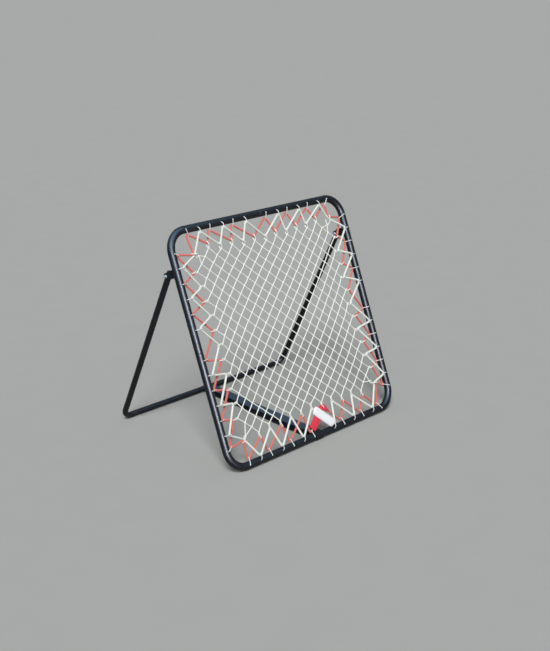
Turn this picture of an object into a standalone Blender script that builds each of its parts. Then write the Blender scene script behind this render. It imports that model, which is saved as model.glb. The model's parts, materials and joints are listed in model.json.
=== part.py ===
"""Rebounder net: a square tube frame that leans back on a folding U stand.

A knotted diamond net hangs in the frame on two elastic cords, one red and one white. They
zigzag between wire hooks in the tube and small tied eyes at the edge of the net. A webbing
loop round both ground tubes keeps the stand from sliding out.

Everything on the frame is modelled flat, in the frame's own axes: x to the right, y up along
the frame, z out of its front, from the middle of the square. One empty then leans it back.
The stand has the same axes, from its pivot, and its own empty on the hinge line.
"""

import math

import bmesh
import bpy
from mathutils import Matrix, Vector

# Clearances
GAP = 0.0003
PIVOT_SIDE_GAP = 0.0005

# Sides of round pieces, and steps of the tubes' own roundness
ROUND_SIDES = 12
SMALL_SIDES = 8
TUBE_RESOLUTION = 4
BORE_RESOLUTION = 2
HOOK_RESOLUTION = 0
ELASTIC_RESOLUTION = 1

# Frame of round tube
FRAME_SIZE = 1.000
FRAME_TUBE_R = 0.016
FRAME_WALL = 0.002
FRAME_BEND_R = 0.084
FRAME_LEAN = math.radians(22.4)
SWAGE_LENGTH = 0.044
SWAGE_WALL = 0.0018
BEND_STEPS = 6

# Hooks of thick wire welded along each side, with one place left empty over the tube joint
HOOK_SLOTS = 14
HOOK_FROM_CORNER = 0.08425
HOOK_REACH = 0.024
HOOK_WIRE_R = 0.0018
HOOK_STUB = 0.004
HOOK_TAIL = 0.001
CORNER_HOOK_PULL = 0.011
SIDES = ("top", "right", "bottom", "left")
EMPTY_SLOT = {"top": 6, "right": 6, "bottom": 6, "left": 7}

# Elastic cords: red is colour 0 and lies behind, white is colour 1 and lies in front
ELASTIC_R = 0.0034
ELASTIC_HOOK_Z = (-0.0010, 0.0195)
ELASTIC_HOOK_FLAT = 0.0042
ELASTIC_EYE_STEP = 0.0012
ELASTIC_EYE_RISE = 0.0065
ELASTIC_CORNER_RISE = 0.0080

# Net: diamonds counted in half meshes from its top left corner, with room left to the tubes
NET_MESHES = 13
NET_CORD = 0.0034
NET_Z = 0.008
NET_SIDE_ROOM = 0.1125
NET_END_ROOM = 0.122
NET_LIFT = 0.009
NET_SPREAD = 0.028
NET_SWELL_WIDTH = 0.018
NET_SWELL_HEIGHT = 0.005
NET_STAGGER = 0.005
NET_CORNER_IN = (0.0055, 0.005)
# Cords left out beside each corner, where the gaps are too small, by their two knots
NET_LEFT_OUT = (((2, 1), (1, 2)), ((3, 2), (2, 3)), ((2, 1), (3, 0)), ((1, 2), (0, 3)))

# Eyes of cord at the net's edge, measured out from their knots
EYE_REACH = 0.020
EYE_TIP = 0.0292
EYE_HALF_WIDTH = 0.0075
CORNER_EYE_REACH = (0.0225, 0.014)
CORNER_EYE_WIDEST = 0.018
CORNER_EYE_TIP = 0.037
CORNER_EYE_HALF_WIDTH = 0.0112

# Padded sleeves over the joined ends of the elastic cords, on the legs from two bottom hooks
SLEEVE_WIDTH = 0.034
SLEEVE_THICKNESS = 0.0145
SLEEVE_ROUNDING = ((1.0, 0.25), (0.80, 0.65), (0.35, 1.0))
SLEEVE_FROM_HOOK = (0.019, 0.012)
SLEEVE_FROM_EYE = (0.018, 0.018)
SLEEVE_SLOT = (7, 5)

# Pivot, measured down the frame from its top tube and back from its middle plane
PIVOT_BELOW_TOP = 0.159
PIVOT_BACK = 0.057
EAR_THICKNESS = 0.0025
EAR_RADIUS = 0.013
EAR_STEPS = 8
BRACKET_LENGTH = 0.034
BRACKET_WEB = 0.004
SADDLE_ANGLE = math.radians(56)
SADDLE_STEPS = 8
BRACKET_SCREW_SPACING = 0.018
BOLT_R = 0.003
BUSH_WALL = 0.002
WASHER_R = 0.007
WASHER_THICKNESS = 0.0012
NUT_WIDTH = 0.0115
NUT_HEX_HEIGHT = 0.005
NUT_DOME_R = 0.0048
NUT_DOME_SINK = 0.0018
NUT_DOME_STEPS = 5
BOLT_HEAD_HEIGHT = 0.004
BOLT_IN_NUT = 0.004

# Small screws of the tube joints and brackets
SCREW_R = 0.002
SCREW_HEAD_R = 0.0042
SCREW_HEAD_HEIGHT = 0.0022
SCREW_LENGTH = 0.006
DRILL_PAST = 0.003

# Stand of thinner tube
STAND_TUBE_R = 0.0125
STAND_WALL = 0.002
STAND_BEND_R = 0.045
LEG_PAST_FRAME = 0.0046
LEG_ABOVE_PIVOT = 0.015
CAP_HEIGHT = 0.005
CAP_STEM = 0.008
CAP_CROWN = ((1.0, 0.60), (0.80, 0.92), (0.40, 1.0), (0.0, 1.0))
STAND_SCREW_ALONG = 0.036

# Webbing strap in a loop
STRAP_WIDTH = 0.050
STRAP_THICKNESS = 0.0014
STRAP_STEPS = 12

# Colour, roughness and metallic value of each finish
LOOKS = {
    "black_paint": ((0.012, 0.014, 0.018), 0.32, 0.0),
    "steel": ((0.55, 0.56, 0.58), 0.35, 1.0),
    "bright_steel": ((0.75, 0.76, 0.78), 0.18, 1.0),
    "black_plastic": ((0.02, 0.02, 0.022), 0.5, 0.0),
    "grey_plastic": ((0.30, 0.31, 0.33), 0.5, 0.0),
    "white_cord": ((0.80, 0.83, 0.76), 0.8, 0.0),
    "red_cord": ((0.65, 0.06, 0.05), 0.8, 0.0),
    "white_sleeve": ((0.84, 0.87, 0.86), 0.7, 0.0),
    "red_sleeve": ((0.72, 0.04, 0.06), 0.7, 0.0),
    "net_cord": ((0.82, 0.84, 0.80), 0.85, 0.0),
    "webbing": ((0.03, 0.045, 0.07), 0.9, 0.0),
}

# Worked out from the above
FRAME_HALF = FRAME_SIZE / 2 - FRAME_TUBE_R
HOOK_PITCH = 2 * (FRAME_HALF - HOOK_FROM_CORNER) / (HOOK_SLOTS - 1)
NET_HALF_WIDTH = FRAME_HALF - NET_SIDE_ROOM
NET_HALF_HEIGHT = FRAME_HALF - NET_END_ROOM
NET_CORNER = (NET_HALF_WIDTH - NET_CORNER_IN[0], NET_HALF_HEIGHT - NET_CORNER_IN[1])
PIVOT_HEIGHT = 2 * FRAME_HALF - PIVOT_BELOW_TOP
LEG_LENGTH = PIVOT_HEIGHT + LEG_PAST_FRAME
FRAME_BORE_R = FRAME_TUBE_R - FRAME_WALL
STAND_BORE_R = STAND_TUBE_R - STAND_WALL
FRAME_GROUND = STRAP_THICKNESS + GAP + FRAME_TUBE_R
STAND_GROUND = STRAP_THICKNESS + GAP + STAND_TUBE_R
PIVOT_Y = PIVOT_HEIGHT - FRAME_HALF
EAR_INNER = STAND_TUBE_R + PIVOT_SIDE_GAP
EAR_OUTER = EAR_INNER + EAR_THICKNESS
LAST = 2 * NET_MESHES
EYES = NET_MESHES - 2
HOOKS = HOOK_SLOTS - 1
HOOK_CLEAR = ELASTIC_R + GAP + HOOK_WIRE_R
OCTAGON = math.cos(math.pi / SMALL_SIDES)
DODECAGON = math.cos(math.pi / ROUND_SIDES)
HALF_ROOT = math.sqrt(0.5)
WELD = 0.00001
BOLT_SEAT = EAR_OUTER + WASHER_THICKNESS + 2 * GAP
BOLT_HOLE_R = (BOLT_R + GAP) / DODECAGON
BUSH_R = BOLT_HOLE_R + BUSH_WALL

# Turns of an outline's plane: to x and z with the thickness along y, and to y and z along x
ACROSS = Matrix.Rotation(math.pi / 2, 4, "X")
SIDEWAYS = Matrix(((0, 0, 1, 0), (1, 0, 0, 0), (0, 1, 0, 0), (0, 0, 0, 1)))


def clear_scene():
    for obj in list(bpy.data.objects):
        bpy.data.objects.remove(obj)


def make_material(name, look):
    colour, roughness, metallic = LOOKS[look]
    material = bpy.data.materials.new(name)
    material.use_nodes = True
    shader = material.node_tree.nodes["Principled BSDF"]
    shader.inputs["Base Color"].default_value = (*colour, 1.0)
    shader.inputs["Roughness"].default_value = roughness
    shader.inputs["Metallic"].default_value = metallic
    return material


def make_collection(name):
    collection = bpy.data.collections.new(name)
    bpy.context.scene.collection.children.link(collection)
    return collection


def make_empty(name, location, tilt, parent=None):
    """An empty at a place, turned about X, that carries the pieces of one body."""
    empty = bpy.data.objects.new(name, None)
    PARTS.objects.link(empty)
    empty.location = location
    empty.rotation_euler = (tilt, 0, 0)
    empty.parent = parent
    return empty


def add_object(name, data, look, parent):
    """A sub-part with its own material, in its body's axes."""
    obj = bpy.data.objects.new(name, data)
    PARTS.objects.link(obj)
    obj.parent = parent
    data.materials.append(make_material(name, look))
    return obj


def smooth(mesh):
    mesh.shade_smooth()
    mesh.set_sharp_from_angle(angle=math.radians(35))


def mesh_from(bm, name):
    mesh = bpy.data.meshes.new(name)
    bm.to_mesh(mesh)
    bm.free()
    smooth(mesh)
    return mesh


# Wires and tubes

def wire_curve(name, paths, radius, resolution, cyclic=False):
    """Curve data with a round wire along each list of points, (x, y, z) or with a radius too."""
    curve = bpy.data.curves.new(name, "CURVE")
    curve.dimensions = "3D"
    curve.bevel_depth = radius
    curve.bevel_resolution = resolution
    curve.use_fill_caps = True
    for path in paths:
        spline = curve.splines.new("POLY")
        spline.points.add(len(path) - 1)
        for point, place in zip(spline.points, path):
            point.co = (*place[:3], 1.0)
            point.radius = place[3] / radius if len(place) > 3 else 1.0
        spline.use_cyclic_u = cyclic
        spline.use_smooth = True
    return curve


def curve_to_mesh(name, curve):
    """The curve's surface as a mesh with its end caps welded on."""
    holder = bpy.data.objects.new(name, curve)
    bpy.context.scene.collection.objects.link(holder)
    graph = bpy.context.evaluated_depsgraph_get()
    mesh = bpy.data.meshes.new_from_object(holder.evaluated_get(graph), depsgraph=graph)
    bpy.data.objects.remove(holder)
    bm = bmesh.new()
    bm.from_mesh(mesh)
    bmesh.ops.remove_doubles(bm, verts=bm.verts, dist=WELD)
    bmesh.ops.recalc_face_normals(bm, faces=bm.faces)
    bm.to_mesh(mesh)
    bm.free()
    smooth(mesh)
    return mesh


def flat_curve(name, outlines, half_thickness):
    """Closed outlines in the XY plane, inner ones as holes, given a thickness along Z."""
    curve = bpy.data.curves.new(name, "CURVE")
    curve.dimensions = "2D"
    curve.fill_mode = "BOTH"
    curve.extrude = half_thickness
    for outline in outlines:
        spline = curve.splines.new("POLY")
        spline.points.add(len(outline) - 1)
        for point, place in zip(spline.points, outline):
            point.co = (place[0], place[1], 0.0, 1.0)
        spline.use_cyclic_u = True
    return curve


def rod(radius, low, high, sides, axis="Z", place=(0, 0, 0)):
    """A bmesh cylinder from low to high along an axis through a place."""
    bm = bmesh.new()
    turn = {"X": Matrix.Rotation(math.pi / 2, 4, "Y"), "Y": Matrix.Rotation(-math.pi / 2, 4, "X"),
            "Z": Matrix.Identity(4)}[axis]
    shift = Matrix.Translation((0, 0, (low + high) / 2))
    bmesh.ops.create_cone(bm, cap_ends=True, segments=sides, radius1=radius, radius2=radius,
                          depth=high - low, matrix=Matrix.Translation(place) @ turn @ shift)
    return bm


def join_bmeshes(parts):
    """One bmesh that holds several closed bodies side by side."""
    whole = bmesh.new()
    for bm in parts:
        part = bpy.data.meshes.new("part")
        bm.to_mesh(part)
        bm.free()
        whole.from_mesh(part)
        bpy.data.meshes.remove(part)
    return whole


def make_cutter(name, data, parent):
    cutter = bpy.data.objects.new(name, data)
    CUTTERS.objects.link(cutter)
    cutter.parent = parent
    cutter.hide_render = True
    cutter.display_type = "WIRE"
    return cutter


def boolean(obj, cutter, operation="DIFFERENCE"):
    modifier = obj.modifiers.new(cutter.name, "BOOLEAN")
    modifier.operation = operation
    modifier.object = cutter
    modifier.solver = "EXACT"


# Places of the sides, the hooks and the drilled holes

def side_point(side, along, out):
    """A point of one side, by its distance along the side, clockwise, and out from the middle."""
    x, y = along, out
    for _ in range(SIDES.index(side)):
        x, y = y, -x
    return Vector((x, y))


def hook_slots(side):
    return [slot for slot in range(HOOK_SLOTS) if slot != EMPTY_SLOT[side]]


def slot_along(slot):
    return (slot - (HOOK_SLOTS - 1) / 2) * HOOK_PITCH


def hook_hole(side, slot):
    return side_point(side, slot_along(slot), FRAME_HALF)


def hook_end(side, slot):
    """Where the elastic cord turns in the hook of a slot."""
    pull = {0: CORNER_HOOK_PULL, HOOK_SLOTS - 1: -CORNER_HOOK_PULL}.get(slot, 0.0)
    return side_point(side, slot_along(slot) + pull, FRAME_HALF - HOOK_REACH)


# Net

def knot_place(i, j):
    """A knot by half meshes across and down. The edges draw in and the middle swells a little:

    x = across * (half width + spread * down^2 + swell * (1 - across^2) * (1 - down^2))
    """
    across = i / NET_MESHES - 1
    up = 1 - j / NET_MESHES
    inside = (1 - across ** 2) * (1 - up ** 2)
    x = across * (NET_HALF_WIDTH + NET_SPREAD * up ** 2 + NET_SWELL_WIDTH * inside)
    y = up * (NET_HALF_HEIGHT + NET_SPREAD * across ** 2 + NET_SWELL_HEIGHT * inside)
    return Vector((x, y + NET_LIFT))


def border_knot(side, number):
    """The half-mesh place of the numbered eye's knot, counted clockwise along a side."""
    step = 2 * number + 1
    return {"top": (step, 0), "right": (LAST, step), "bottom": (LAST - step, LAST),
            "left": (0, LAST - step)}[side]


def outward(side):
    return side_point(side, 0, 1)


def eye_knot(side, number):
    """Red eyes, the odd ones, are drawn out a little and white ones less."""
    stagger = NET_STAGGER if number % 2 else -NET_STAGGER
    return knot_place(*border_knot(side, number)) + outward(side) * stagger


def corner_knot(side):
    """The corner at the start of a side, clockwise, and its outward direction."""
    way = side_point(side, -1, 1)
    place = Vector((way.x * NET_CORNER[0], way.y * NET_CORNER[1] + NET_LIFT))
    return place, way.normalized()


def mirror_key(key, flip_i, flip_j):
    i, j = key
    return (LAST - i if flip_i else i, LAST - j if flip_j else j)


def net_graph():
    """The net's knots, by name, and the cords between them, as pairs of names."""
    corner_names = {}
    for side in SIDES:
        way = side_point(side, -1, 1)
        for key in ((1, 0), (0, 1)):
            corner_names[mirror_key(key, way.x > 0, way.y < 0)] = side + "_corner"
    left_out = set()
    for flip_i in (False, True):
        for flip_j in (False, True):
            for pair in NET_LEFT_OUT:
                left_out.add(frozenset(mirror_key(key, flip_i, flip_j) for key in pair))
    places = {}
    cords = set()
    for i in range(LAST + 1):
        for j in range(LAST + 1):
            if (i + j) % 2 == 0:
                continue
            name = corner_names.get((i, j), (i, j))
            places[name] = knot_place(i, j)
            for down in (-1, 1):
                other = (i + 1, j + down)
                if i == LAST or not 0 <= other[1] <= LAST:
                    continue
                if frozenset(((i, j), other)) in left_out:
                    continue
                other_name = corner_names.get(other, other)
                if other_name != name:
                    cords.add(frozenset((name, other_name)))
    for side in SIDES:
        knot, way = corner_knot(side)
        places[side + "_corner"] = knot
        add_eye(places, cords, side + "_corner", way, CORNER_EYE_WIDEST, CORNER_EYE_TIP,
                CORNER_EYE_HALF_WIDTH)
        for number in range(1, EYES + 1):
            name = border_knot(side, number)
            places[name] = eye_knot(side, number)
            add_eye(places, cords, name, outward(side), EYE_REACH, EYE_TIP, EYE_HALF_WIDTH)
    return places, cords


def add_eye(places, cords, name, way, widest, tip, half_width):
    """A kite-shaped eye of cord that stands out of a knot."""
    across = Vector((-way.y, way.x)) * half_width
    ring = [name, ("left", name), ("tip", name), ("right", name)]
    places[ring[1]] = places[name] + way * widest + across
    places[ring[2]] = places[name] + way * tip
    places[ring[3]] = places[name] + way * widest - across
    for first, second in zip(ring, ring[1:] + ring[:1]):
        cords.add(frozenset((first, second)))


def net_faces(places, cords):
    """Each gap of the net, and its outer edge, as a ring of knots with the gap on the left."""
    around = {name: [] for name in places}
    for cord in cords:
        first, second = cord
        around[first].append(second)
        around[second].append(first)
    for name, others in around.items():
        others.sort(key=lambda other: math.atan2(*(places[other] - places[name]).yx))
    unused = {(first, second) for first in around for second in around[first]}
    faces = []
    for start in sorted(unused, key=str):
        if start not in unused:
            continue
        step = start
        face = []
        while step in unused:
            unused.remove(step)
            first, second = step
            face.append(first)
            others = around[second]
            step = (second, others[others.index(first) - 1])
        faces.append(face)
    return faces


def inset_ring(points, inset):
    """A closed ring moved to its left by a distance, with mitred corners."""
    ring = []
    for index, place in enumerate(points):
        before = (place - points[index - 1]).normalized()
        after = (points[(index + 1) % len(points)] - place).normalized()
        left_before = Vector((-before.y, before.x))
        left_after = Vector((-after.y, after.x))
        ring.append(place + (left_before + left_after) * (inset / (1 + left_before @ left_after)))
    return ring


def make_net():
    places, cords = net_graph()
    faces = net_faces(places, cords)
    outlines = [inset_ring([places[name] for name in face], NET_CORD / 2) for face in faces]
    mesh = curve_to_mesh("net", flat_curve("net", outlines, NET_CORD / 2))
    net = add_object("net", mesh, "net_cord", FRAME)
    net.location = (0, 0, NET_Z)
    eyes = len(SIDES) * (EYES + 1)
    print("net: gaps", len(faces) - 1 - eyes, "eyes", eyes)


# Frame tubes and their hooks

def arc(centre, radius, start, end, steps):
    """Points of an arc in the XY plane, angles in radians."""
    return [Vector((centre[0] + radius * math.cos(start + (end - start) * k / steps),
                    centre[1] + radius * math.sin(start + (end - start) * k / steps), 0))
            for k in range(steps + 1)]


def corner_path(side, starts, ends):
    """The middle line round the corner at the start of a side, clockwise.

    It begins with (distance along the side before, radius) and ends with the same on this side.
    """
    middle = FRAME_HALF - FRAME_BEND_R
    radius = starts[-1][1]
    points = [(-FRAME_HALF, along, start_r) for along, start_r in starts]
    points += [(point.x, point.y, radius)
               for point in arc((-middle, middle), FRAME_BEND_R, math.pi, math.pi / 2, BEND_STEPS)]
    points += [(along, FRAME_HALF, end_r) for along, end_r in ends]
    return [(*side_point(side, x, y), 0, point_r) for x, y, point_r in points]


def tube_end(radius, bore_r, wall, male):
    """The outside and the bore near a joint, as (distance past it, radius) from the far end in.

    A male end is reduced to fit in the flats of the eight-sided bore beyond the joint.
    """
    cut = GAP / 2
    past = 2 * wall
    if not male:
        return [(-cut, radius)], [(past, bore_r)]
    male_r = bore_r * OCTAGON - GAP
    inner_r = male_r - SWAGE_WALL
    outside = [(SWAGE_LENGTH, male_r), (0, male_r), (-cut, radius)]
    return outside, [(SWAGE_LENGTH + past, inner_r), (-past, inner_r), (-past - cut, bore_r)]


def previous(side):
    return SIDES[SIDES.index(side) - 1]


def empty_along(side):
    return slot_along(EMPTY_SLOT[side])


def hook_path(side, number):
    """From inside the tube out of its front, toward the middle, round the cord and back."""
    slot = hook_slots(side)[number]
    colour = number % 2
    hole = hook_hole(side, slot).to_3d()
    toward = (hook_end(side, slot).to_3d() - hole)
    reach = toward.length
    toward.normalize()
    height = ELASTIC_HOOK_Z[colour]
    far = reach + HOOK_CLEAR
    run = [(0, FRAME_TUBE_R - HOOK_STUB)]
    if colour:
        run.append((0, height + HOOK_CLEAR))
    else:
        wrap = (FRAME_TUBE_R + HOOK_WIRE_R + GAP) / OCTAGON
        run += [(0, wrap), (wrap * HALF_ROOT, wrap * HALF_ROOT)]
    run += [(far, height + HOOK_CLEAR), (far, height - HOOK_CLEAR),
            (reach - HOOK_TAIL, height - HOOK_CLEAR)]
    return [hole + toward * out + Vector((0, 0, up)) for out, up in run]


def make_tube(name, outside, bore, wires, holes, parent):
    """A bent tube with its welded hooks, its bore and its drilled holes."""
    curve = wire_curve(name, [outside], outside[0][3], TUBE_RESOLUTION)
    tube = add_object(name, curve_to_mesh(name, curve), "black_paint", parent)
    if wires:
        curve = wire_curve(name + "_hooks", wires, HOOK_WIRE_R, HOOK_RESOLUTION)
        data = curve_to_mesh(name + "_hooks", curve)
        boolean(tube, make_cutter(name + "_hooks", data, parent), "UNION")
    curve = wire_curve(name + "_bore", [bore], bore[0][3], BORE_RESOLUTION)
    data = curve_to_mesh(name + "_bore", curve)
    boolean(tube, make_cutter(name + "_bore", data, parent))
    data = mesh_from(join_bmeshes(holes), name + "_holes")
    boolean(tube, make_cutter(name + "_holes", data, parent))


def screw_drill(place, tube_r):
    """A round hole in a tube's back wall for a small screw."""
    radius = (SCREW_R + GAP) / OCTAGON
    return rod(radius, -tube_r - DRILL_PAST, -tube_r / 2, SMALL_SIDES,
               place=(place[0], place[1], 0))


def bracket_screw_places(sign):
    return [(sign * FRAME_HALF, PIVOT_Y + step * BRACKET_SCREW_SPACING / 2) for step in (-1, 1)]


def make_frame_quarter(side, name):
    """The L of frame tube at the start of a side, with its share of the hooks.

    A joint is double beside its middle, where a hook is missing: there the quarter from
    beyond the joint runs into this one with its male end.
    """
    before = previous(side)
    starts = tube_end(FRAME_TUBE_R, FRAME_BORE_R, FRAME_WALL, empty_along(before) < 0)
    ends = tube_end(FRAME_TUBE_R, FRAME_BORE_R, FRAME_WALL, empty_along(side) > 0)
    outside, bore = [corner_path(side, [(-past, radius) for past, radius in start], end[::-1])
                     for start, end in zip(starts, ends)]
    wires = [hook_path(before, number) for number in range(HOOKS)
             if slot_along(hook_slots(before)[number]) > 0]
    wires += [hook_path(side, number) for number in range(HOOKS)
              if slot_along(hook_slots(side)[number]) < 0]
    holes = [screw_drill(joint_screw_place(joint), FRAME_TUBE_R) for joint in (before, side)]
    if side in ("top", "right"):
        sign = -1 if side == "top" else 1
        holes += [screw_drill(place, FRAME_TUBE_R) for place in bracket_screw_places(sign)]
    make_tube(name, outside, bore, wires, holes, FRAME)


def joint_screw_place(side):
    return side_point(side, empty_along(side), FRAME_HALF)


def revolved(profile, sides, matrix):
    """A closed body spun about the Z axis from (radius, height) points, then placed."""
    bm = bmesh.new()
    rim = [bm.verts.new((radius, 0, height)) for radius, height in profile]
    for first, second in zip(rim, rim[1:]):
        bm.edges.new((first, second))
    bmesh.ops.spin(bm, geom=bm.verts[:] + bm.edges[:], axis=(0, 0, 1), cent=(0, 0, 0),
                   steps=sides, angle=2 * math.pi)
    bmesh.ops.remove_doubles(bm, verts=bm.verts, dist=WELD)
    bmesh.ops.recalc_face_normals(bm, faces=bm.faces)
    bm.transform(matrix)
    return bm


def make_screw(name, place, seat, length, parent):
    """A small round-headed screw driven from the back."""
    under = -seat - GAP
    profile = [(0, under - SCREW_HEAD_HEIGHT), (SCREW_HEAD_R / 2, under - SCREW_HEAD_HEIGHT),
               (SCREW_HEAD_R, under - SCREW_HEAD_HEIGHT / 3), (SCREW_HEAD_R, under),
               (SCREW_R, under), (SCREW_R, length - seat), (0, length - seat)]
    screw = revolved(profile, SMALL_SIDES, Matrix.Translation((*place, 0)))
    add_object(name, mesh_from(screw, name), "steel", parent)


# Elastic cords

def elastic_stops(colour):
    """Where one cord turns, clockwise from the top left corner.

    Each stop is its place, the hook's axis or None at an eye, and the height from which the
    cord comes into an eye, over the net's plane. Eyes before the empty hook place and after it
    are threaded opposite ways, to keep the two cords apart.
    """
    behind = -1 if colour else 1
    stops = []
    for side in SIDES:
        knot, way = corner_knot(side)
        stops.append((knot + way * CORNER_EYE_REACH[colour], None, behind * ELASTIC_CORNER_RISE))
        for number in range(colour, HOOKS, 2):
            slot = hook_slots(side)[number]
            end = hook_end(side, slot)
            axis = (end - hook_hole(side, slot)).normalized()
            stops.append((end, axis, 0))
            if number + 1 <= EYES - colour:
                eye = eye_knot(side, number + 1) + outward(side) * EYE_REACH
                from_side = behind if number + 1 < EMPTY_SLOT[side] else -behind
                stops.append((eye, None, from_side * ELASTIC_EYE_RISE))
    return stops


def elastic_path(colour):
    """The cord's middle line. In an eye it passes through the net."""
    stops = elastic_stops(colour)
    path = []
    for index, (place, axis, rise) in enumerate(stops):
        if axis:
            across = Vector((-axis.y, axis.x)) * ELASTIC_HOOK_FLAT
            path.append((*(place - across), ELASTIC_HOOK_Z[colour]))
            path.append((*(place + across), ELASTIC_HOOK_Z[colour]))
            continue
        back = (stops[index - 1][0] - place).normalized() * ELASTIC_EYE_STEP
        on = (stops[(index + 1) % len(stops)][0] - place).normalized() * ELASTIC_EYE_STEP
        path.append((*(place + back), NET_Z + rise))
        path.append((*(place + on), NET_Z - rise))
    return [Vector(point) for point in path]


def make_elastic(name, colour, look):
    curve = wire_curve(name, [elastic_path(colour)], ELASTIC_R, ELASTIC_RESOLUTION, cyclic=True)
    add_object(name, curve_to_mesh(name, curve), look, FRAME)


def sleeve_leg(colour):
    """The ends of the leg that carries a sleeve, from a bottom hook to the eye beside it."""
    places = [place for place, _, _ in elastic_stops(colour)]
    index = places.index(hook_end("bottom", SLEEVE_SLOT[colour]))
    path = elastic_path(colour)
    if colour:
        return path[2 * index + 1], path[2 * index + 2]
    return path[2 * index], path[2 * index - 1]


def make_sleeve(name, colour, look):
    """A padded sleeve round one leg of a cord, wider than it is thick."""
    near, far = sleeve_leg(colour)
    along = (far - near).normalized()
    across = Vector((0, 0, 1)).cross(along).normalized()
    start = SLEEVE_FROM_HOOK[colour]
    stop = (far - near).length - SLEEVE_FROM_EYE[colour]
    quarter = [(x * SLEEVE_WIDTH / 2, y * SLEEVE_THICKNESS / 2) for x, y in SLEEVE_ROUNDING]
    half = quarter + [(-x, y) for x, y in reversed(quarter)]
    outer = half + [(x, -y) for x, y in reversed(half)]
    bore = (ELASTIC_R + GAP) / OCTAGON
    hole = [point.xy for point in arc((0, 0), bore, 0, math.pi * 7 / 4, 7)]
    mesh = curve_to_mesh(name, flat_curve(name, [outer, hole], (stop - start) / 2))
    axes = Matrix((across, along.cross(across), along)).transposed().to_4x4()
    mesh.transform(Matrix.Translation(near + along * (start + stop) / 2) @ axes)
    add_object(name, mesh, look, FRAME)


# Pivots

def plate(name, outlines, low, high, matrix):
    """Outlines given a thickness from low to high, turned and placed."""
    mesh = curve_to_mesh(name, flat_curve(name, outlines, (high - low) / 2))
    mesh.transform(matrix @ Matrix.Translation((0, 0, (low + high) / 2)))
    return mesh


def bracket_outlines():
    """The U across the tube, as x and z, and its side, as y and z."""
    seat = FRAME_TUBE_R + GAP
    saddle = [(point.x, point.y) for point in arc((0, 0), seat, -math.pi / 2 - SADDLE_ANGLE,
                                                  -math.pi / 2 + SADDLE_ANGLE, SADDLE_STEPS)]
    lip = saddle[0][1]
    web = -seat - BRACKET_WEB
    back = -PIVOT_BACK - EAR_RADIUS
    across = saddle + [(EAR_OUTER, lip), (EAR_OUTER, back), (EAR_INNER, back), (EAR_INNER, web),
                       (-EAR_INNER, web), (-EAR_INNER, back), (-EAR_OUTER, back),
                       (-EAR_OUTER, lip)]
    half = BRACKET_LENGTH / 2
    side = [(half, 0), (-half, 0), (-half, web - EAR_THICKNESS)]
    ear = arc((0, -PIVOT_BACK), EAR_RADIUS, -math.pi, 0, EAR_STEPS)
    side += [(point.x, point.y) for point in ear]
    side.append((half, web - EAR_THICKNESS))
    return across, side


def make_bracket(label, sign):
    name = "pivot_bracket_" + label
    across, side = bracket_outlines()
    place = Matrix.Translation((sign * FRAME_HALF, PIVOT_Y, 0))
    reach = 2 * EAR_RADIUS
    bracket = add_object(name, plate(name, [across], -reach, reach, place @ ACROSS), "black_paint",
                         FRAME)
    trim = plate(name + "_side", [side], -reach, reach, place @ SIDEWAYS)
    boolean(bracket, make_cutter(name + "_side", trim, FRAME), "INTERSECT")
    pivot = (sign * FRAME_HALF, PIVOT_Y, -PIVOT_BACK)
    drills = [rod(BOLT_HOLE_R, -reach, reach, ROUND_SIDES, "X", pivot)]
    for spot in bracket_screw_places(sign):
        drills.append(rod((SCREW_R + GAP) / OCTAGON, -FRAME_TUBE_R - 2 * BRACKET_WEB,
                          -FRAME_TUBE_R + GAP, SMALL_SIDES, place=(*spot, 0)))
    data = mesh_from(join_bmeshes(drills), name + "_holes")
    boolean(bracket, make_cutter(name + "_holes", data, FRAME))


def pivot_matrix(sign):
    """The matrix that turns a body's Z axis to point away from the frame's middle."""
    turn = Matrix.Rotation(sign * math.pi / 2, 4, "Y")
    return Matrix.Translation((sign * FRAME_HALF, PIVOT_Y, -PIVOT_BACK)) @ turn


def hexagon(low, high, matrix):
    radius = NUT_WIDTH / 2 / math.cos(math.pi / 6)
    bm = rod(radius, low, high, 6)
    bm.transform(matrix)
    return bm


def make_bolt(label, sign):
    """A bolt with its head on the inner side, through both ears."""
    matrix = pivot_matrix(sign)
    name = "pivot_bolt_" + label
    low = -BOLT_SEAT - BOLT_HEAD_HEIGHT
    in_head = (low - BOLT_SEAT) / 2
    high = BOLT_SEAT + BOLT_IN_NUT
    shank = revolved([(0, in_head), (BOLT_R, in_head), (BOLT_R, high), (0, high)], ROUND_SIDES,
                     matrix)
    bolt = add_object(name, mesh_from(shank, name), "steel", FRAME)
    head = mesh_from(hexagon(low, -BOLT_SEAT, matrix), name + "_head")
    boolean(bolt, make_cutter(name + "_head", head, FRAME), "UNION")


def make_nut(label, sign):
    """A dome nut with a blind bore, on the outer side."""
    matrix = pivot_matrix(sign)
    name = "pivot_nut_" + label
    top = BOLT_SEAT + NUT_HEX_HEIGHT
    data = mesh_from(hexagon(BOLT_SEAT, top, matrix), name)
    nut = add_object(name, data, "bright_steel", FRAME)
    base = top - NUT_DOME_SINK
    dome = arc((0, base), NUT_DOME_R, 0, math.pi / 2, NUT_DOME_STEPS)
    data = revolved([(0, base)] + [point.xy for point in dome], ROUND_SIDES, matrix)
    boolean(nut, make_cutter(name + "_dome", mesh_from(data, name + "_dome"), FRAME), "UNION")
    depth = BOLT_SEAT + BOLT_IN_NUT + GAP
    data = rod(BOLT_HOLE_R, BOLT_SEAT - GAP, depth, ROUND_SIDES)
    data.transform(matrix)
    boolean(nut, make_cutter(name + "_bore", mesh_from(data, name + "_bore"), FRAME))


def ring(inner, outer, low, high, matrix):
    return revolved([(inner, low), (outer, low), (outer, high), (inner, high), (inner, low)],
                    ROUND_SIDES, matrix)


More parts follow.
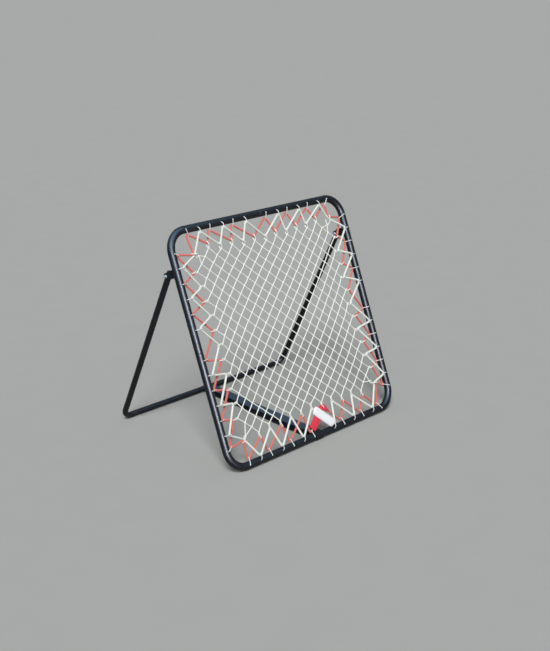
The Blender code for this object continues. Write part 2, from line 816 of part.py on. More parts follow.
def make_washers(label, sign):
    """The washers between the ears and the bolt's head and nut."""
    low = EAR_OUTER + GAP
    high = low + WASHER_THICKNESS
    for name, start, end in (("outer", low, high), ("inner", -high, -low)):
        name = f"pivot_washer_{label}_{name}"
        washer = ring(BOLT_HOLE_R, WASHER_R, start, end, pivot_matrix(sign))
        add_object(name, mesh_from(washer, name), "steel", FRAME)


# Stand, in its own axes: y up the legs from the pivot

def rail_path(sign, top, ends):
    """One leg's middle line, down and round the bend to (distance across, radius) on the rail."""
    middle = (sign * (FRAME_HALF - STAND_BEND_R), STAND_BEND_R - LEG_LENGTH)
    start = math.pi if sign < 0 else 0
    radius = ends[0][1]
    points = [(sign * FRAME_HALF, top, 0, radius)]
    points += [(*point, radius)
               for point in arc(middle, STAND_BEND_R, start, start - sign * math.pi / 2, BEND_STEPS)]
    return points + [(-sign * past, -LEG_LENGTH, 0, end_r) for past, end_r in ends]


def make_stand_half(label, sign):
    """Half of the U. The right half's male end runs into the left one."""
    outer_end, bore_end = tube_end(STAND_TUBE_R, STAND_BORE_R, STAND_WALL, sign > 0)
    above = LEG_ABOVE_PIVOT + STAND_WALL
    holes = [screw_drill(stand_screw_place(), STAND_TUBE_R),
             rod((BUSH_R + GAP) / DODECAGON, -2 * STAND_TUBE_R, 2 * STAND_TUBE_R, ROUND_SIDES,
                 "X", (sign * FRAME_HALF, 0, 0))]
    make_tube("stand_tube_" + label, rail_path(sign, LEG_ABOVE_PIVOT, outer_end[::-1]),
              rail_path(sign, above, bore_end[::-1]), [], holes, STAND)


def stand_screw_place():
    return Vector((-STAND_SCREW_ALONG, -LEG_LENGTH))


def make_bush(label, sign):
    matrix = Matrix.Translation((sign * FRAME_HALF, 0, 0)) @ Matrix.Rotation(math.pi / 2, 4, "Y")
    bush = ring(BOLT_HOLE_R, BUSH_R, -STAND_TUBE_R, STAND_TUBE_R, matrix)
    add_object("leg_bush_" + label, mesh_from(bush, "leg_bush"), "grey_plastic", STAND)


def make_cap(label, sign):
    """A rounded cap on a leg's open end, with a stem in the bore."""
    stem = STAND_BORE_R * OCTAGON - GAP
    low = LEG_ABOVE_PIVOT + GAP
    profile = [(0, LEG_ABOVE_PIVOT - CAP_STEM), (stem, LEG_ABOVE_PIVOT - CAP_STEM), (stem, low),
               (STAND_TUBE_R, low)]
    profile += [(STAND_TUBE_R * x, low + CAP_HEIGHT * y) for x, y in CAP_CROWN]
    matrix = Matrix.Translation((sign * FRAME_HALF, 0, 0)) @ Matrix.Rotation(-math.pi / 2, 4, "X")
    name = "leg_cap_" + label
    cap = revolved(profile, ROUND_SIDES, matrix)
    add_object(name, mesh_from(cap, name), "black_plastic", STAND)


# Strap, in the ground's axes

def pivot_place():
    """The pivot's place behind and above the middle of the bottom tube."""
    y = PIVOT_HEIGHT * math.sin(FRAME_LEAN) + PIVOT_BACK * math.cos(FRAME_LEAN)
    z = PIVOT_HEIGHT * math.cos(FRAME_LEAN) - PIVOT_BACK * math.sin(FRAME_LEAN)
    return Vector((0, y, FRAME_GROUND + z))


def stand_tilt():
    """The angle of the legs, so that the rail rests on the strap."""
    drop = pivot_place().z - STAND_GROUND
    return math.atan2(drop, -math.sqrt(LEG_LENGTH ** 2 - drop ** 2))


def belt(front, back, front_r, back_r):
    """A closed outline round two circles, with straight runs between them."""
    line = back - front
    lean = math.atan2(line.y, line.x)
    spread = math.acos((front_r - back_r) / line.length)
    low, high = lean - spread, lean + spread
    around = arc(back, back_r, low, high, STRAP_STEPS)
    around += arc(front, front_r, high, low + 2 * math.pi, STRAP_STEPS)
    return [point.xy for point in around]


def make_strap():
    front = Vector((0, FRAME_GROUND))
    back = Vector((pivot_place().y - LEG_LENGTH * math.cos(stand_tilt()), STAND_GROUND))
    skin = STRAP_THICKNESS + GAP
    loose = GAP / math.cos(math.pi / 2 / STRAP_STEPS)
    outer = belt(front, back, FRAME_TUBE_R + skin, STAND_TUBE_R + skin)
    inner = belt(front, back, FRAME_TUBE_R + loose, STAND_TUBE_R + loose)
    half = STRAP_WIDTH / 2
    mesh = plate("spreader_strap", [outer, inner], -half, half, SIDEWAYS)
    add_object("spreader_strap", mesh, "webbing", ROOT)


def stand_on_ground():
    """Move everything so that the middle of its lowest face is at the origin."""
    graph = bpy.context.evaluated_depsgraph_get()
    places = []
    for obj in PARTS.objects:
        if obj.type == "MESH":
            finished = obj.evaluated_get(graph)
            places += [finished.matrix_world @ vertex.co for vertex in finished.data.vertices]
    low = [min(place[k] for place in places) for k in range(3)]
    high = [max(place[k] for place in places) for k in range(3)]
    ROOT.location = (-(low[0] + high[0]) / 2, -(low[1] + high[1]) / 2, -low[2])


clear_scene()
PARTS = make_collection("rebounder_net")
CUTTERS = make_collection("cutters")
ROOT = make_empty("rebounder_root", (0, 0, 0), 0)
MIDDLE = (0, FRAME_HALF * math.sin(FRAME_LEAN), FRAME_GROUND + FRAME_HALF * math.cos(FRAME_LEAN))
FRAME = make_empty("frame_axes", MIDDLE, math.pi / 2 - FRAME_LEAN, ROOT)
STAND = make_empty("stand_axes", pivot_place(), stand_tilt(), ROOT)

for start, corner in zip(SIDES, ("top_left", "top_right", "bottom_right", "bottom_left")):
    make_frame_quarter(start, "frame_tube_" + corner)
    make_screw("joint_screw_" + start, joint_screw_place(start), FRAME_TUBE_R, SCREW_LENGTH, FRAME)
make_net()
make_elastic("elastic_red", 0, "red_cord")
make_elastic("elastic_white", 1, "white_cord")
make_sleeve("sleeve_red", 0, "red_sleeve")
make_sleeve("sleeve_white", 1, "white_sleeve")
for hand, way in (("left", -1), ("right", 1)):
    make_bracket(hand, way)
    make_bolt(hand, way)
    make_nut(hand, way)
    make_stand_half(hand, way)
    make_bush(hand, way)
    make_cap(hand, way)
    make_washers(hand, way)
    for end, spot in zip(("lower", "upper"), bracket_screw_places(way)):
        make_screw(f"bracket_screw_{hand}_{end}", spot, FRAME_TUBE_R + GAP + BRACKET_WEB,
                   BRACKET_WEB + SCREW_LENGTH, FRAME)
make_screw("stand_screw", stand_screw_place(), STAND_TUBE_R, SCREW_LENGTH, STAND)
make_strap()
stand_on_ground()
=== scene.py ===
# %% [markdown]
# # A rebounder net
# A square of black tube leans back on a folding stand. A knotted net hangs in it on two
# elastic cords, one red and one white, which zigzag between wire hooks and the net's edge.
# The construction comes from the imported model. This script dresses it: every visible piece is
# made again as a smooth surface in the same place, with a finish of its own.

import json
import math

import bpy
import numpy as np
from mathutils import Matrix, Vector


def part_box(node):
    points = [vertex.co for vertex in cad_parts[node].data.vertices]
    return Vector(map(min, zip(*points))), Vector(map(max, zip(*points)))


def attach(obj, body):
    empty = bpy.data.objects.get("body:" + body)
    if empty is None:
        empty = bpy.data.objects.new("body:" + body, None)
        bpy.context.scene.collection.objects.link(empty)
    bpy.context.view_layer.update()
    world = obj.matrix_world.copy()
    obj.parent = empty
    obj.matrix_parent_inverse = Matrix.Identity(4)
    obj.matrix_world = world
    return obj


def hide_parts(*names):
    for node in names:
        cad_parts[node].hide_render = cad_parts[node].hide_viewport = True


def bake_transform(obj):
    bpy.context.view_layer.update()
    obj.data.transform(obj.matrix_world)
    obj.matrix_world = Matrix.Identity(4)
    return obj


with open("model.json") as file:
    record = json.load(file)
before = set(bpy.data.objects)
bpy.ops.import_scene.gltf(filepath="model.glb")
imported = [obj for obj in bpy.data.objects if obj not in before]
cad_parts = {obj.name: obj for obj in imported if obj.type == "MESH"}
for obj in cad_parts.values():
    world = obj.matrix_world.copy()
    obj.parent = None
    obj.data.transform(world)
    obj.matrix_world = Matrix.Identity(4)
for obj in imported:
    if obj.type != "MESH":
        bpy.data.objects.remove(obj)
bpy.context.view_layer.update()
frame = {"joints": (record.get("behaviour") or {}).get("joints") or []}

# %% [markdown]
# ## Places
# The frame is flat, so it is easiest to think in its own axes: x to the right, y up along the
# frame and z out of its front, from the middle of the square. The stand has axes of the same
# kind, from its pivot. Three unit vectors each turn such a place into the object's metres.

# %% The driving sizes, in metres
FRAME_SIZE = 1.000
FRAME_TUBE_R = 0.016
FRAME_BEND_R = 0.084
LEAN = math.radians(22.4)
STAND_TUBE_R = 0.0125
STAND_BEND_R = 0.045
LEG_LENGTH = 0.8136
LEG_ABOVE_PIVOT = 0.015
PIVOT_HEIGHT = 0.809
PIVOT_BACK = 0.057
STRAP_THICKNESS = 0.0014
GAP = 0.0003
FRAME_HALF = FRAME_SIZE / 2 - FRAME_TUBE_R
PIVOT_Y = PIVOT_HEIGHT - FRAME_HALF
SIDES = ("top", "right", "bottom", "left")
HANDS = (("left", -1), ("right", 1))

# %% The two sets of axes
def unit(way):
    return way / np.linalg.norm(way, axis=-1, keepdims=True)


strap_low, strap_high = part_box("spreader_strap")
SKIN = STRAP_THICKNESS + GAP
BOTTOM_TUBE = np.array((0, strap_low.y + SKIN + FRAME_TUBE_R, SKIN + FRAME_TUBE_R))
GROUND_RAIL = np.array((0, strap_high.y - SKIN - STAND_TUBE_R, SKIN + STAND_TUBE_R))
FRAME_AXES = np.array(((1, 0, 0), (0, math.sin(LEAN), math.cos(LEAN)),
                       (0, -math.cos(LEAN), math.sin(LEAN))))
MIDDLE = BOTTOM_TUBE + FRAME_HALF * FRAME_AXES[1]
PIVOT = np.array(frame["joints"][0]["pos_m"])
leg_up = unit(PIVOT - GROUND_RAIL)
STAND_AXES = np.array(((1, 0, 0), leg_up, np.cross((1, 0, 0), leg_up)))


def on_frame(places):
    """x times the right, y times the way up the frame, z times the way out, from the middle."""
    return MIDDLE + np.asarray(places) @ FRAME_AXES


def on_stand(places):
    """The same with the stand's axes, from the pivot."""
    return PIVOT + np.asarray(places) @ STAND_AXES


print("middle of the square", MIDDLE.round(4), "leg length", np.linalg.norm(PIVOT - GROUND_RAIL))

# %% [markdown]
# ## Tubes, wires and cords are one surface
# A round section carried along a path makes the tubes, the hooks, both elastic cords and every
# strand of the net. The path is a list of points whose corners are rounded first. All the
# strands of one kind are computed together, as one array of paths.

# %% Rounding a path
def rounded(points, radius, arc_steps, leg_steps, closed=False):
    """Each corner becomes the curve (1-s)^2 a + 2 s (1-s) corner + s^2 b.

    a and b lie on the two legs, back from the corner by radius * tan(turn / 2), and by no more
    than 48% of a leg. The legs between get evenly spaced points. The array is (paths, points, 3).
    """
    points = np.asarray(points, float)
    if closed:
        points = np.pad(points, ((0, 0), (1, 1), (0, 0)), "wrap")
    before, corner, after = points[:, :-2], points[:, 1:-1], points[:, 2:]
    back, on = before - corner, after - corner
    shorter = np.minimum(np.linalg.norm(back, axis=2), np.linalg.norm(on, axis=2))[:, :, None]
    cosine = (unit(back) * unit(on)).sum(2, keepdims=True)
    half_turn = (math.pi - np.arccos(np.clip(cosine, -1, 1))) / 2
    cut = np.minimum(radius * np.tan(half_turn), 0.48 * shorter)
    start = (corner + unit(back) * cut)[:, :, None]
    end = (corner + unit(on) * cut)[:, :, None]
    s = np.linspace(0, 1, arc_steps + 1)[:, None]
    arcs = (1 - s) ** 2 * start + 2 * s * (1 - s) * corner[:, :, None] + s ** 2 * end
    last = start[:, :1] if closed else points[:, -1:, None]
    following = np.concatenate((start[:, 1:], last), axis=1)
    q = (np.arange(1, leg_steps) / leg_steps)[:, None]
    legs = end * (1 - q) + following * q
    runs = np.concatenate((arcs, legs), axis=2).reshape(len(points), -1, 3)
    if closed:
        return runs
    q = (np.arange(leg_steps) / leg_steps)[:, None]
    first = points[:, :1] * (1 - q) + start[:, 0] * q
    return np.concatenate((first, runs, points[:, -1:]), axis=1)


# %% Carrying a section along a path
def swept(paths, section, normal, closed=False):
    """ring = path + across * section_x + up * section_y

    The path's direction comes from its neighbours. across is normal x direction, and up is
    direction x across, so normal only has to point roughly out of the plane of the path.
    section is (points, 2), or (rings, points, 2) where it changes.
    """
    if closed:
        direction = np.roll(paths, -1, 1) - np.roll(paths, 1, 1)
    else:
        direction = np.gradient(paths, axis=1)
    direction = unit(direction)
    across = unit(np.cross(normal, direction))
    up = np.cross(direction, across)
    section = np.asarray(section, float)
    return (paths[:, :, None] + across[:, :, None] * section[..., 0:1]
            + up[:, :, None] * section[..., 1:2])


def around(steps):
    """Angles at even steps round a circle."""
    return np.linspace(0, 2 * math.pi, steps, endpoint=False)


def arc(centre, radius, angle):
    """centre + radius * (cos angle, sin angle)"""
    return np.asarray(centre) + radius * np.stack((np.cos(angle), np.sin(angle)), axis=1)


def circle(radius, sides):
    return arc((0, 0), radius, around(sides))


# %% Putting grids of points into a mesh
def running(points, axis):
    """Metres from the first point along an axis of the array, round to the first again."""
    steps = np.linalg.norm(np.roll(points, -1, axis) - points, axis=-1)
    return np.concatenate((0 * steps.take([0], axis), steps.cumsum(axis)), axis=axis)


def cells(grid):
    """The four corners of each cell of an array's last two axes, in order round it."""
    return np.stack((grid[..., :-1, :-1], grid[..., :-1, 1:], grid[..., 1:, 1:],
                     grid[..., 1:, :-1]), axis=-1)


def skin(name, grids, closed=False, sharp=40):
    """One mesh from (pieces, rings, points, 3): quads between rings, and a flat face on each end.

    UV is in metres: round the ring, from its own length, and along the path, from the first
    ring. Where the rings close on themselves the path is closed too, and needs no end faces.
    """
    index = np.arange(grids.size // 3).reshape(grids.shape[:3])
    quads = cells(np.pad(index, ((0, 0), (0, closed), (0, 1)), "wrap"))
    u = np.pad(running(grids, 2), ((0, 0), (0, closed), (0, 0)), "wrap")
    v = running(grids.mean(2), 1)[:, :u.shape[1], None] + 0 * u
    faces, uvs = [quads.reshape(-1, 4)], [np.stack((cells(u), cells(v)), axis=-1)]
    if not closed:
        faces.append(np.concatenate((index[:, 0, ::-1], index[:, -1])))
        uvs.append(np.zeros((*faces[1].shape, 2)))
    return fill_mesh(name, grids.reshape(-1, 3), faces, uvs, sharp)


def added(name, data):
    """A new object in the scene with this mesh, lamp or camera."""
    obj = bpy.data.objects.new(name, data)
    bpy.context.scene.collection.objects.link(obj)
    return obj


def fill_mesh(name, places, faces, uvs, sharp):
    """Lists of arrays, of each face's corner indices and of their UV pairs, put into a mesh."""
    loops = np.concatenate([block.reshape(-1) for block in faces])
    counts = np.concatenate([np.full(len(block), block.shape[1]) for block in faces])
    uv = np.concatenate([block.reshape(-1) for block in uvs])
    mesh = bpy.data.meshes.new(name)
    mesh.vertices.add(len(places))
    mesh.vertices.foreach_set("co", places.astype(np.float32).reshape(-1))
    mesh.loops.add(len(loops))
    mesh.loops.foreach_set("vertex_index", loops.astype(np.int32))
    mesh.polygons.add(len(counts))
    mesh.polygons.foreach_set("loop_start", (counts.cumsum() - counts).astype(np.int32))
    layer = mesh.uv_layers.new(name="UVMap")
    layer.data.foreach_set("uv", uv.astype(np.float32))
    mesh.update(calc_edges=True)
    mesh.validate()
    mesh.shade_smooth()
    mesh.set_sharp_from_angle(angle=math.radians(sharp))
    return added(name, mesh)


# %% Giving a piece its finish and its body, and hiding the imported nodes that it replaces
def dress(obj, material, body, slot, *nodes):
    obj.data.materials.append(material)
    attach(obj, body)
    if nodes:
        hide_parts(*nodes)
    print(f"{obj.name}: {len(obj.data.polygons)} faces")


# %% [markdown]
# ## Finishes
# Each finish is a Principled shader whose colour, roughness and bump vary over the surface.
# What several finishes share is a node group: the grain of a coat, and the weave of a cord.

# %% Building nodes with few words
class Nodes:
    """A node tree and short ways to fill it."""

    def __init__(self, tree):
        self.tree = tree

    def fill(self, node, inputs):
        """Values or links on a node's named inputs."""
        for label, value in inputs.items():
            if isinstance(value, bpy.types.NodeSocket):
                self.tree.links.new(value, node.inputs[label])
            else:
                node.inputs[label].default_value = value
        return node.outputs

    def add(self, kind, inputs=None, **settings):
        """A new shader node with its settings and inputs, and what it puts out."""
        node = self.tree.nodes.new("ShaderNode" + kind)
        for key, value in settings.items():
            setattr(node, key, value)
        return self.fill(node, inputs or {})

    def math(self, operation, a, b=0.0, clamp=False):
        return self.add("Math", {0: a, 1: b}, operation=operation, use_clamp=clamp)[0]

    def noise(self, scale, detail, roughness=0.5):
        """Cloudy noise in the object's own metres."""
        place = self.add("TexCoord")["Object"]
        return self.add("TexNoise", {"Vector": place, "Scale": scale, "Detail": detail,
                                               "Roughness": roughness})["Fac"]

    def spread(self, value, low, high):
        """A value from 0 to 1 stretched from low to high."""
        return self.add("MapRange",
                        {"Value": value, "To Min": low, "To Max": high})["Result"]

    def mix(self, factor, first, second):
        return self.add("Mix", {"Factor": factor, "A": first, "B": second},
                        data_type="RGBA")["Result"]

    def bump(self, height, distance):
        return self.add("Bump", {"Height": height, "Distance": distance})["Normal"]

    def uv(self):
        """The two numbers of the piece's own UV map."""
        return self.add("SeparateXYZ", {0: self.add("UVMap")["UV"]})


def principled(name):
    """A new material, its nodes and its shader."""
    material = bpy.data.materials.new(name)
    material.use_nodes = True
    return material, Nodes(material.node_tree), material.node_tree.nodes["Principled BSDF"]


def new_group(name, inputs, outputs):
    """An empty shader group with float inputs, (name, default), and float outputs."""
    tree = bpy.data.node_groups.new(name, "ShaderNodeTree")
    for label, default in inputs:
        socket = tree.interface.new_socket(label, in_out="INPUT", socket_type="NodeSocketFloat")
        socket.default_value = default
    for label in outputs:
        tree.interface.new_socket(label, in_out="OUTPUT", socket_type="NodeSocketFloat")
    given, result = (tree.nodes.new("NodeGroup" + way) for way in ("Input", "Output"))
    return Nodes(tree), given.outputs, result


# %% Coat grain: the dimples, scuffs and dust of paint, plastic and plating
DUST_SPECKS, DUST_ABOVE, DUST_CONTRAST = 420.0, 0.62, 6.0

grain, given, result = new_group("coat_grain", (("Dimples", 900.0), ("Scuffs", 60.0)),
                                 ("Height", "Scuff", "Dust"))
speck = grain.math("SUBTRACT", grain.noise(DUST_SPECKS, 3.0, 0.8), DUST_ABOVE)
grain.fill(result, {
    "Height": grain.noise(given["Dimples"], 1.0),
    "Scuff": grain.math("POWER", grain.noise(given["Scuffs"], 6.0, 0.7), 2.0),
    "Dust": grain.math("MULTIPLY", speck, DUST_CONTRAST, clamp=True)})
COAT_GRAIN = grain.tree
print("group", COAT_GRAIN.name)

# %% Braid: yarns that cross each other at a slant round a cord
YARN_STEPS = (12.9, 78.2)
YARN_SCATTER = 43758.5

braid, given, result = new_group("braid", (("Yarns per metre round", 800.0),
                                           ("Crossings per metre", 500.0)),
                                 ("Height", "Yarn"))
round_way = braid.math("MULTIPLY", braid.uv()["X"], given["Yarns per metre round"])
long_way = braid.math("MULTIPLY", braid.uv()["Y"], given["Crossings per metre"])
humps, numbers = [], []
for operation, step in zip(("ADD", "SUBTRACT"), YARN_STEPS):
    slant = braid.math(operation, round_way, long_way)
    wave = braid.math("SINE", braid.math("MULTIPLY", slant, math.pi))
    humps.append(braid.math("ABSOLUTE", wave))
    numbers.append(braid.math("MULTIPLY", braid.math("FLOOR", slant), step))
scatter = braid.math("MULTIPLY", braid.math("SINE", braid.math("ADD", *numbers)), YARN_SCATTER)
braid.fill(result, {"Height": braid.math("MULTIPLY", *humps),
                    "Yarn": braid.math("FRACT", scatter)})
BRAID = braid.tree
print("group", BRAID.name)


# %% Finishes of hard pieces
DUST_GREY = 0.35
SCUFFED = (0.75, 1.6)


def coated(name, colour, roughness, metallic=0.0, dimple=0.00003, dust=0.12, scale=900.0,
           gloss=0.5):
    """Paint, plastic or plating: colour, scuffed roughness, fine dimples and a little dust."""
    material, nodes, shader = principled(name)
    coat = nodes.add("Group", {"Dimples": scale}, node_tree=COAT_GRAIN)
    dusty = tuple(c * (1 - dust) + DUST_GREY * dust for c in colour)
    nodes.fill(shader, {
        "Metallic": metallic, "Specular IOR Level": gloss,
        "Base Color": nodes.mix(coat["Dust"], (*colour, 1), (*dusty, 1)),
        "Roughness": nodes.spread(coat["Scuff"], *(roughness * s for s in SCUFFED)),
        "Normal": nodes.bump(coat["Height"], dimple)})
    return material


black_paint = coated("black_paint", (0.001, 0.002, 0.004), 0.42, dimple=0.00001, dust=0.02,
                     gloss=0.22)
zinc = coated("zinc_plate", (0.46, 0.48, 0.50), 0.42, metallic=0.6, gloss=0.3)
bright = coated("bright_plate", (0.23, 0.26, 0.24), 0.5, metallic=0.15, dimple=0.00001,
                dust=0.05, gloss=0.1)
cap_plastic = coated("cap_plastic", (0.005, 0.006, 0.011), 0.36, dimple=0.0001, dust=0.04,
                     scale=1400.0, gloss=0.4)
bush_plastic = coated("bush_plastic", (0.30, 0.31, 0.33), 0.5, dimple=0.0001, dust=0.1,
                      scale=1400.0)
hook_wire = coated("hook_wire", (0.66, 0.72, 0.68), 0.6, dimple=0.00004, gloss=0.15)


# %% Finishes of cords and cloth
ELASTIC_WEAVE = (850, 420, 0.0003)
TWINE_WEAVE = (420, 380, 0.0003)
SLEEVE_WEAVE = (900, 900, 0.0002)
WEBBING_WEAVE = (500, 450, 0.0002)
CLOTH_ROUGHNESS, CLOTH_GLOSS = 0.85, 0.05
SOIL_PATCHES = 14.0
# Painted shade: the least share of a yarn's own colour left at the bottom of a valley between
# yarns.
VALLEY_SHADE_FLOOR = 0.3
# Painted sky reflection: the metres over which the strap's lighter upper run blends into its own
# colour.
SKY_REFLECTION_STEP = 0.03


def woven(name, colour, shade, weave, valley_shade=0.8, sky_reflection=None, sheen=0.2):
    """Braided or woven yarn: each yarn a little lighter or darker, with painted shade in the
    valleys between.

    weave is the yarns per metre round, the crossings per metre along and the depth in metres.
    The optional tuple is a colour and the metres of the piece, from and to, over which a painted
    sky reflection makes it lighter and bluer, where its top catches the sky. The change is spread
    over a short step of metres, set above.
    """
    material, nodes, shader = principled(name)
    yarns = nodes.add("Group", {"Yarns per metre round": weave[0],
                                          "Crossings per metre": weave[1]}, node_tree=BRAID)
    soiled = nodes.noise(SOIL_PATCHES, 5.0, 0.6)
    uneven = nodes.math("MULTIPLY", nodes.math("ADD", yarns["Yarn"], soiled), 0.5)
    varied = nodes.mix(uneven, (*colour, 1), (*shade, 1))
    # Painted shade: the valleys between the yarns take the shade colour, scaled down by the valley
    # share.
    valley_shade_colour = tuple(c * valley_shade for c in shade)
    # Painted sky reflection: a stretch of the piece painted lighter and bluer, as if its top
    # caught the sky.
    if sky_reflection:
        sky_reflection_colour, start, stop = sky_reflection
        metres = nodes.uv()["Y"]
        edges = [nodes.math("MULTIPLY", nodes.math("SUBTRACT", *pair), 1 / SKY_REFLECTION_STEP, clamp=True)
                 for pair in ((metres, start), (stop, metres))]
        varied = nodes.mix(nodes.math("MULTIPLY", *edges), varied, (*sky_reflection_colour, 1))
    # Painted shade in the valleys: the yarns' height decides how much of the shaded colour shows.
    out_of_valley_shade = nodes.spread(yarns["Height"], VALLEY_SHADE_FLOOR, 1.0)
    nodes.fill(shader, {
        "Roughness": CLOTH_ROUGHNESS, "Specular IOR Level": CLOTH_GLOSS, "Sheen Weight": sheen,
        "Base Color": nodes.mix(out_of_valley_shade, (*valley_shade_colour, 1), varied),
        "Normal": nodes.bump(yarns["Height"], weave[2])})
    return material


white_elastic = woven("white_elastic", (0.87, 0.91, 0.84), (0.79, 0.83, 0.76), ELASTIC_WEAVE)
red_elastic = woven("red_elastic", (0.84, 0.24, 0.19), (0.72, 0.15, 0.115), ELASTIC_WEAVE)
net_twine = woven("net_twine", (0.88, 0.91, 0.85), (0.80, 0.84, 0.78), TWINE_WEAVE, 0.9)
white_sleeve = woven("white_sleeve", (0.90, 0.90, 0.93), (0.82, 0.83, 0.87), SLEEVE_WEAVE, 0.9)
red_sleeve = woven("red_sleeve", (0.80, 0.045, 0.075), (0.68, 0.03, 0.055), SLEEVE_WEAVE, 0.85)

# %% [markdown]
# ## Frame tubes
# Four L-shaped tubes are pushed into one another in the middle of each side, so a thin ring
# shows at each joint. Each is a circle carried along two straight runs and a quarter bend.

# %% Frame tubes
HOOK_SLOTS = 14
HOOK_PITCH = 0.0615
EMPTY_SLOT = {"top": 6, "right": 6, "bottom": 6, "left": 7}
TUBE_SIDES = 32
BEND_STEPS = 20
EDGE, EDGE_SHARE = 0.0008, 0.3
END_STEPS = (0, EDGE / 2, EDGE, 0.002, 0.05)


def side_place(side, along, out, height=0.0):
    """Distance clockwise along a side and out from the middle, as x, y and z on the frame."""
    along, out, height = np.broadcast_arrays(along, out, height)
    x, y = along, out
    for _ in range(SIDES.index(side)):
        x, y = y, -x
    return np.stack((x, y, height), axis=-1).astype(float)


def quarter_path():
    """Up half a side, round a quarter circle and along the next, with fine steps at the ends."""
    centre = FRAME_HALF - FRAME_BEND_R
    bend = arc((-centre, centre), FRAME_BEND_R, np.linspace(math.pi, math.pi / 2, BEND_STEPS + 1))
    first = [(-FRAME_HALF, GAP / 2 + step) for step in END_STEPS]
    last = [(-GAP / 2 - step, FRAME_HALF) for step in END_STEPS[::-1]]
    return np.concatenate((first, bend, last))


def softened(count, radius):
    """A circle on every ring, drawn in at the ends and a share of it next to them."""
    radii = np.full(count, radius)
    radii[[0, -1]] -= EDGE
    radii[[1, -2]] -= EDGE_SHARE * EDGE
    return circle(1, TUBE_SIDES) * radii[:, None, None]


quarter = quarter_path()
for side, corner in zip(SIDES, ("top_left", "top_right", "bottom_right", "bottom_left")):
    path = side_place(side, *quarter.T)[None]
    grid = swept(path, softened(path.shape[1], FRAME_TUBE_R), (0, 0, 1))
    dress(skin("tube_" + corner, on_frame(grid)), black_paint, "frame", "frame_tube",
          "frame_tube_" + corner)

# %% [markdown]
# ## Hooks
# Bent wire, 3.4 mm thick, comes out of the front of the tube. A hook for the white cord stands
# out and turns down, so the white cord lies in front. A hook for the red cord bends round the
# tube, so the red cord lies behind. Every hook of a colour is the same bent wire, carried from
# its hole toward its tip. The hooks beside a corner lean away from it.

# %% Hooks
HOOK_REACH = 0.024
HOOK_WIRE_R = 0.0017
HOOK_STUB = 0.004
HOOK_TAIL = 0.001
CORNER_HOOK_PULL = 0.011
ELASTIC_R = 0.0042
ELASTIC_HOOK_Z = (-0.0010, 0.0195)
HOOK_CLEAR = ELASTIC_R + GAP + HOOK_WIRE_R
HOOK_BEND_R = 0.0045
RED_CLIMB = ((0.001, 0.0188), (0.0133, 0.0137))
WHITE_CLIMB = ((0.0035, 0.0185), (0.0115, ELASTIC_HOOK_Z[1] + HOOK_CLEAR))
COLOURS = ("red", "white")


def slot_along(slot):
    """The distance of a hook's slot along its side, from the side's middle."""
    return (slot - (HOOK_SLOTS - 1) / 2) * HOOK_PITCH


def hook_slots(side):
    return np.delete(np.arange(HOOK_SLOTS), EMPTY_SLOT[side])


def hook_places(side):
    """Where the hooks leave the tube, and where they hold the cord."""
    slots = hook_slots(side)
    along = slot_along(slots)
    pull = CORNER_HOOK_PULL * ((slots == 0) * 1.0 - (slots == HOOK_SLOTS - 1))
    return (side_place(side, along, FRAME_HALF),
            side_place(side, along + pull, FRAME_HALF - HOOK_REACH))


def hook_paths(side, colour):
    """Distance toward the middle times the hook's way, and a height above the tube's middle."""
    hole, tip = (places[colour::2] for places in hook_places(side))
    reach, way = np.linalg.norm(tip - hole, axis=1, keepdims=True), unit(tip - hole)
    climb = (RED_CLIMB, WHITE_CLIMB)[colour]
    first = np.broadcast_to([0, climb[0][0], climb[1][0]], (len(reach), 3))
    far = reach + HOOK_CLEAR
    out = np.concatenate((first, far, far, reach - HOOK_TAIL), axis=1)
    over, under = ELASTIC_HOOK_Z[colour] + HOOK_CLEAR, ELASTIC_HOOK_Z[colour] - HOOK_CLEAR
    paths = hole[:, None] + way[:, None] * out[:, :, None]
    paths[:, :, 2] = (FRAME_TUBE_R - HOOK_STUB, climb[0][1], climb[1][1], over, under, under)
    return paths, np.cross(way, (0, 0, 1))


for side in SIDES:
    for colour, word in enumerate(COLOURS):
        paths, across = hook_paths(side, colour)
        grid = swept(rounded(paths, HOOK_BEND_R, 6, 2), circle(HOOK_WIRE_R, 10), across[:, None])
        dress(skin(f"hooks_{side}_{word}", on_frame(grid)), hook_wire, "frame", "frame_tube")

# %% [markdown]
# ## Net
# The knots sit at every other crossing of a square lattice. The elastic pulls the lattice out at
# its corners, and every other border knot a little further than its neighbours. Each corner has
# one knot of its own, and an eye that is pulled its own way.

# %% Where the knots are
NET_MESHES = 13
NET_CORD_R = 0.0022
NET_Z = 0.008
NET_HALF_WIDTH = 0.3715
NET_HALF_HEIGHT = 0.362
NET_LIFT = 0.009
NET_SPREAD = 0.028
NET_SWELL_WIDTH = 0.018
NET_SWELL_HEIGHT = 0.005
NET_STAGGER = 0.005
CORNER_KNOTS = {"top": (-0.365, 0.369), "right": (0.371, 0.369), "bottom": (0.375, -0.350),
                "left": (-0.378, -0.369)}
CORNER_PULLS = {"top": (-0.0188, 0.0085), "right": (0.0151, 0.0274), "bottom": (0.0265, -0.0137),
                "left": (-0.0125, -0.0108)}
LAST = 2 * NET_MESHES
EYES = NET_MESHES - 2


def knot_place(i, j):
    """x = across * (half width + spread * up^2 + swell * (1 - across^2) * (1 - up^2)), y alike."""
    across = i / NET_MESHES - 1
    up = 1 - j / NET_MESHES
    inside = (1 - across ** 2) * (1 - up ** 2)
    x = across * (NET_HALF_WIDTH + NET_SPREAD * up ** 2 + NET_SWELL_WIDTH * inside)
    y = up * (NET_HALF_HEIGHT + NET_SPREAD * across ** 2 + NET_SWELL_HEIGHT * inside)
    return np.stack((x, y + NET_LIFT, np.full_like(x, NET_Z)), axis=-1)


def border_indices(side):
    """The half-mesh places of a side's eyes, clockwise."""
    step = 2 * np.arange(1, EYES + 1) + 1
    return {"top": (step, 0 * step), "right": (0 * step + LAST, step),
            "bottom": (LAST - step, 0 * step + LAST), "left": (0 * step, LAST - step)}[side]


def outward(side):
    return side_place(side, 0, 1)


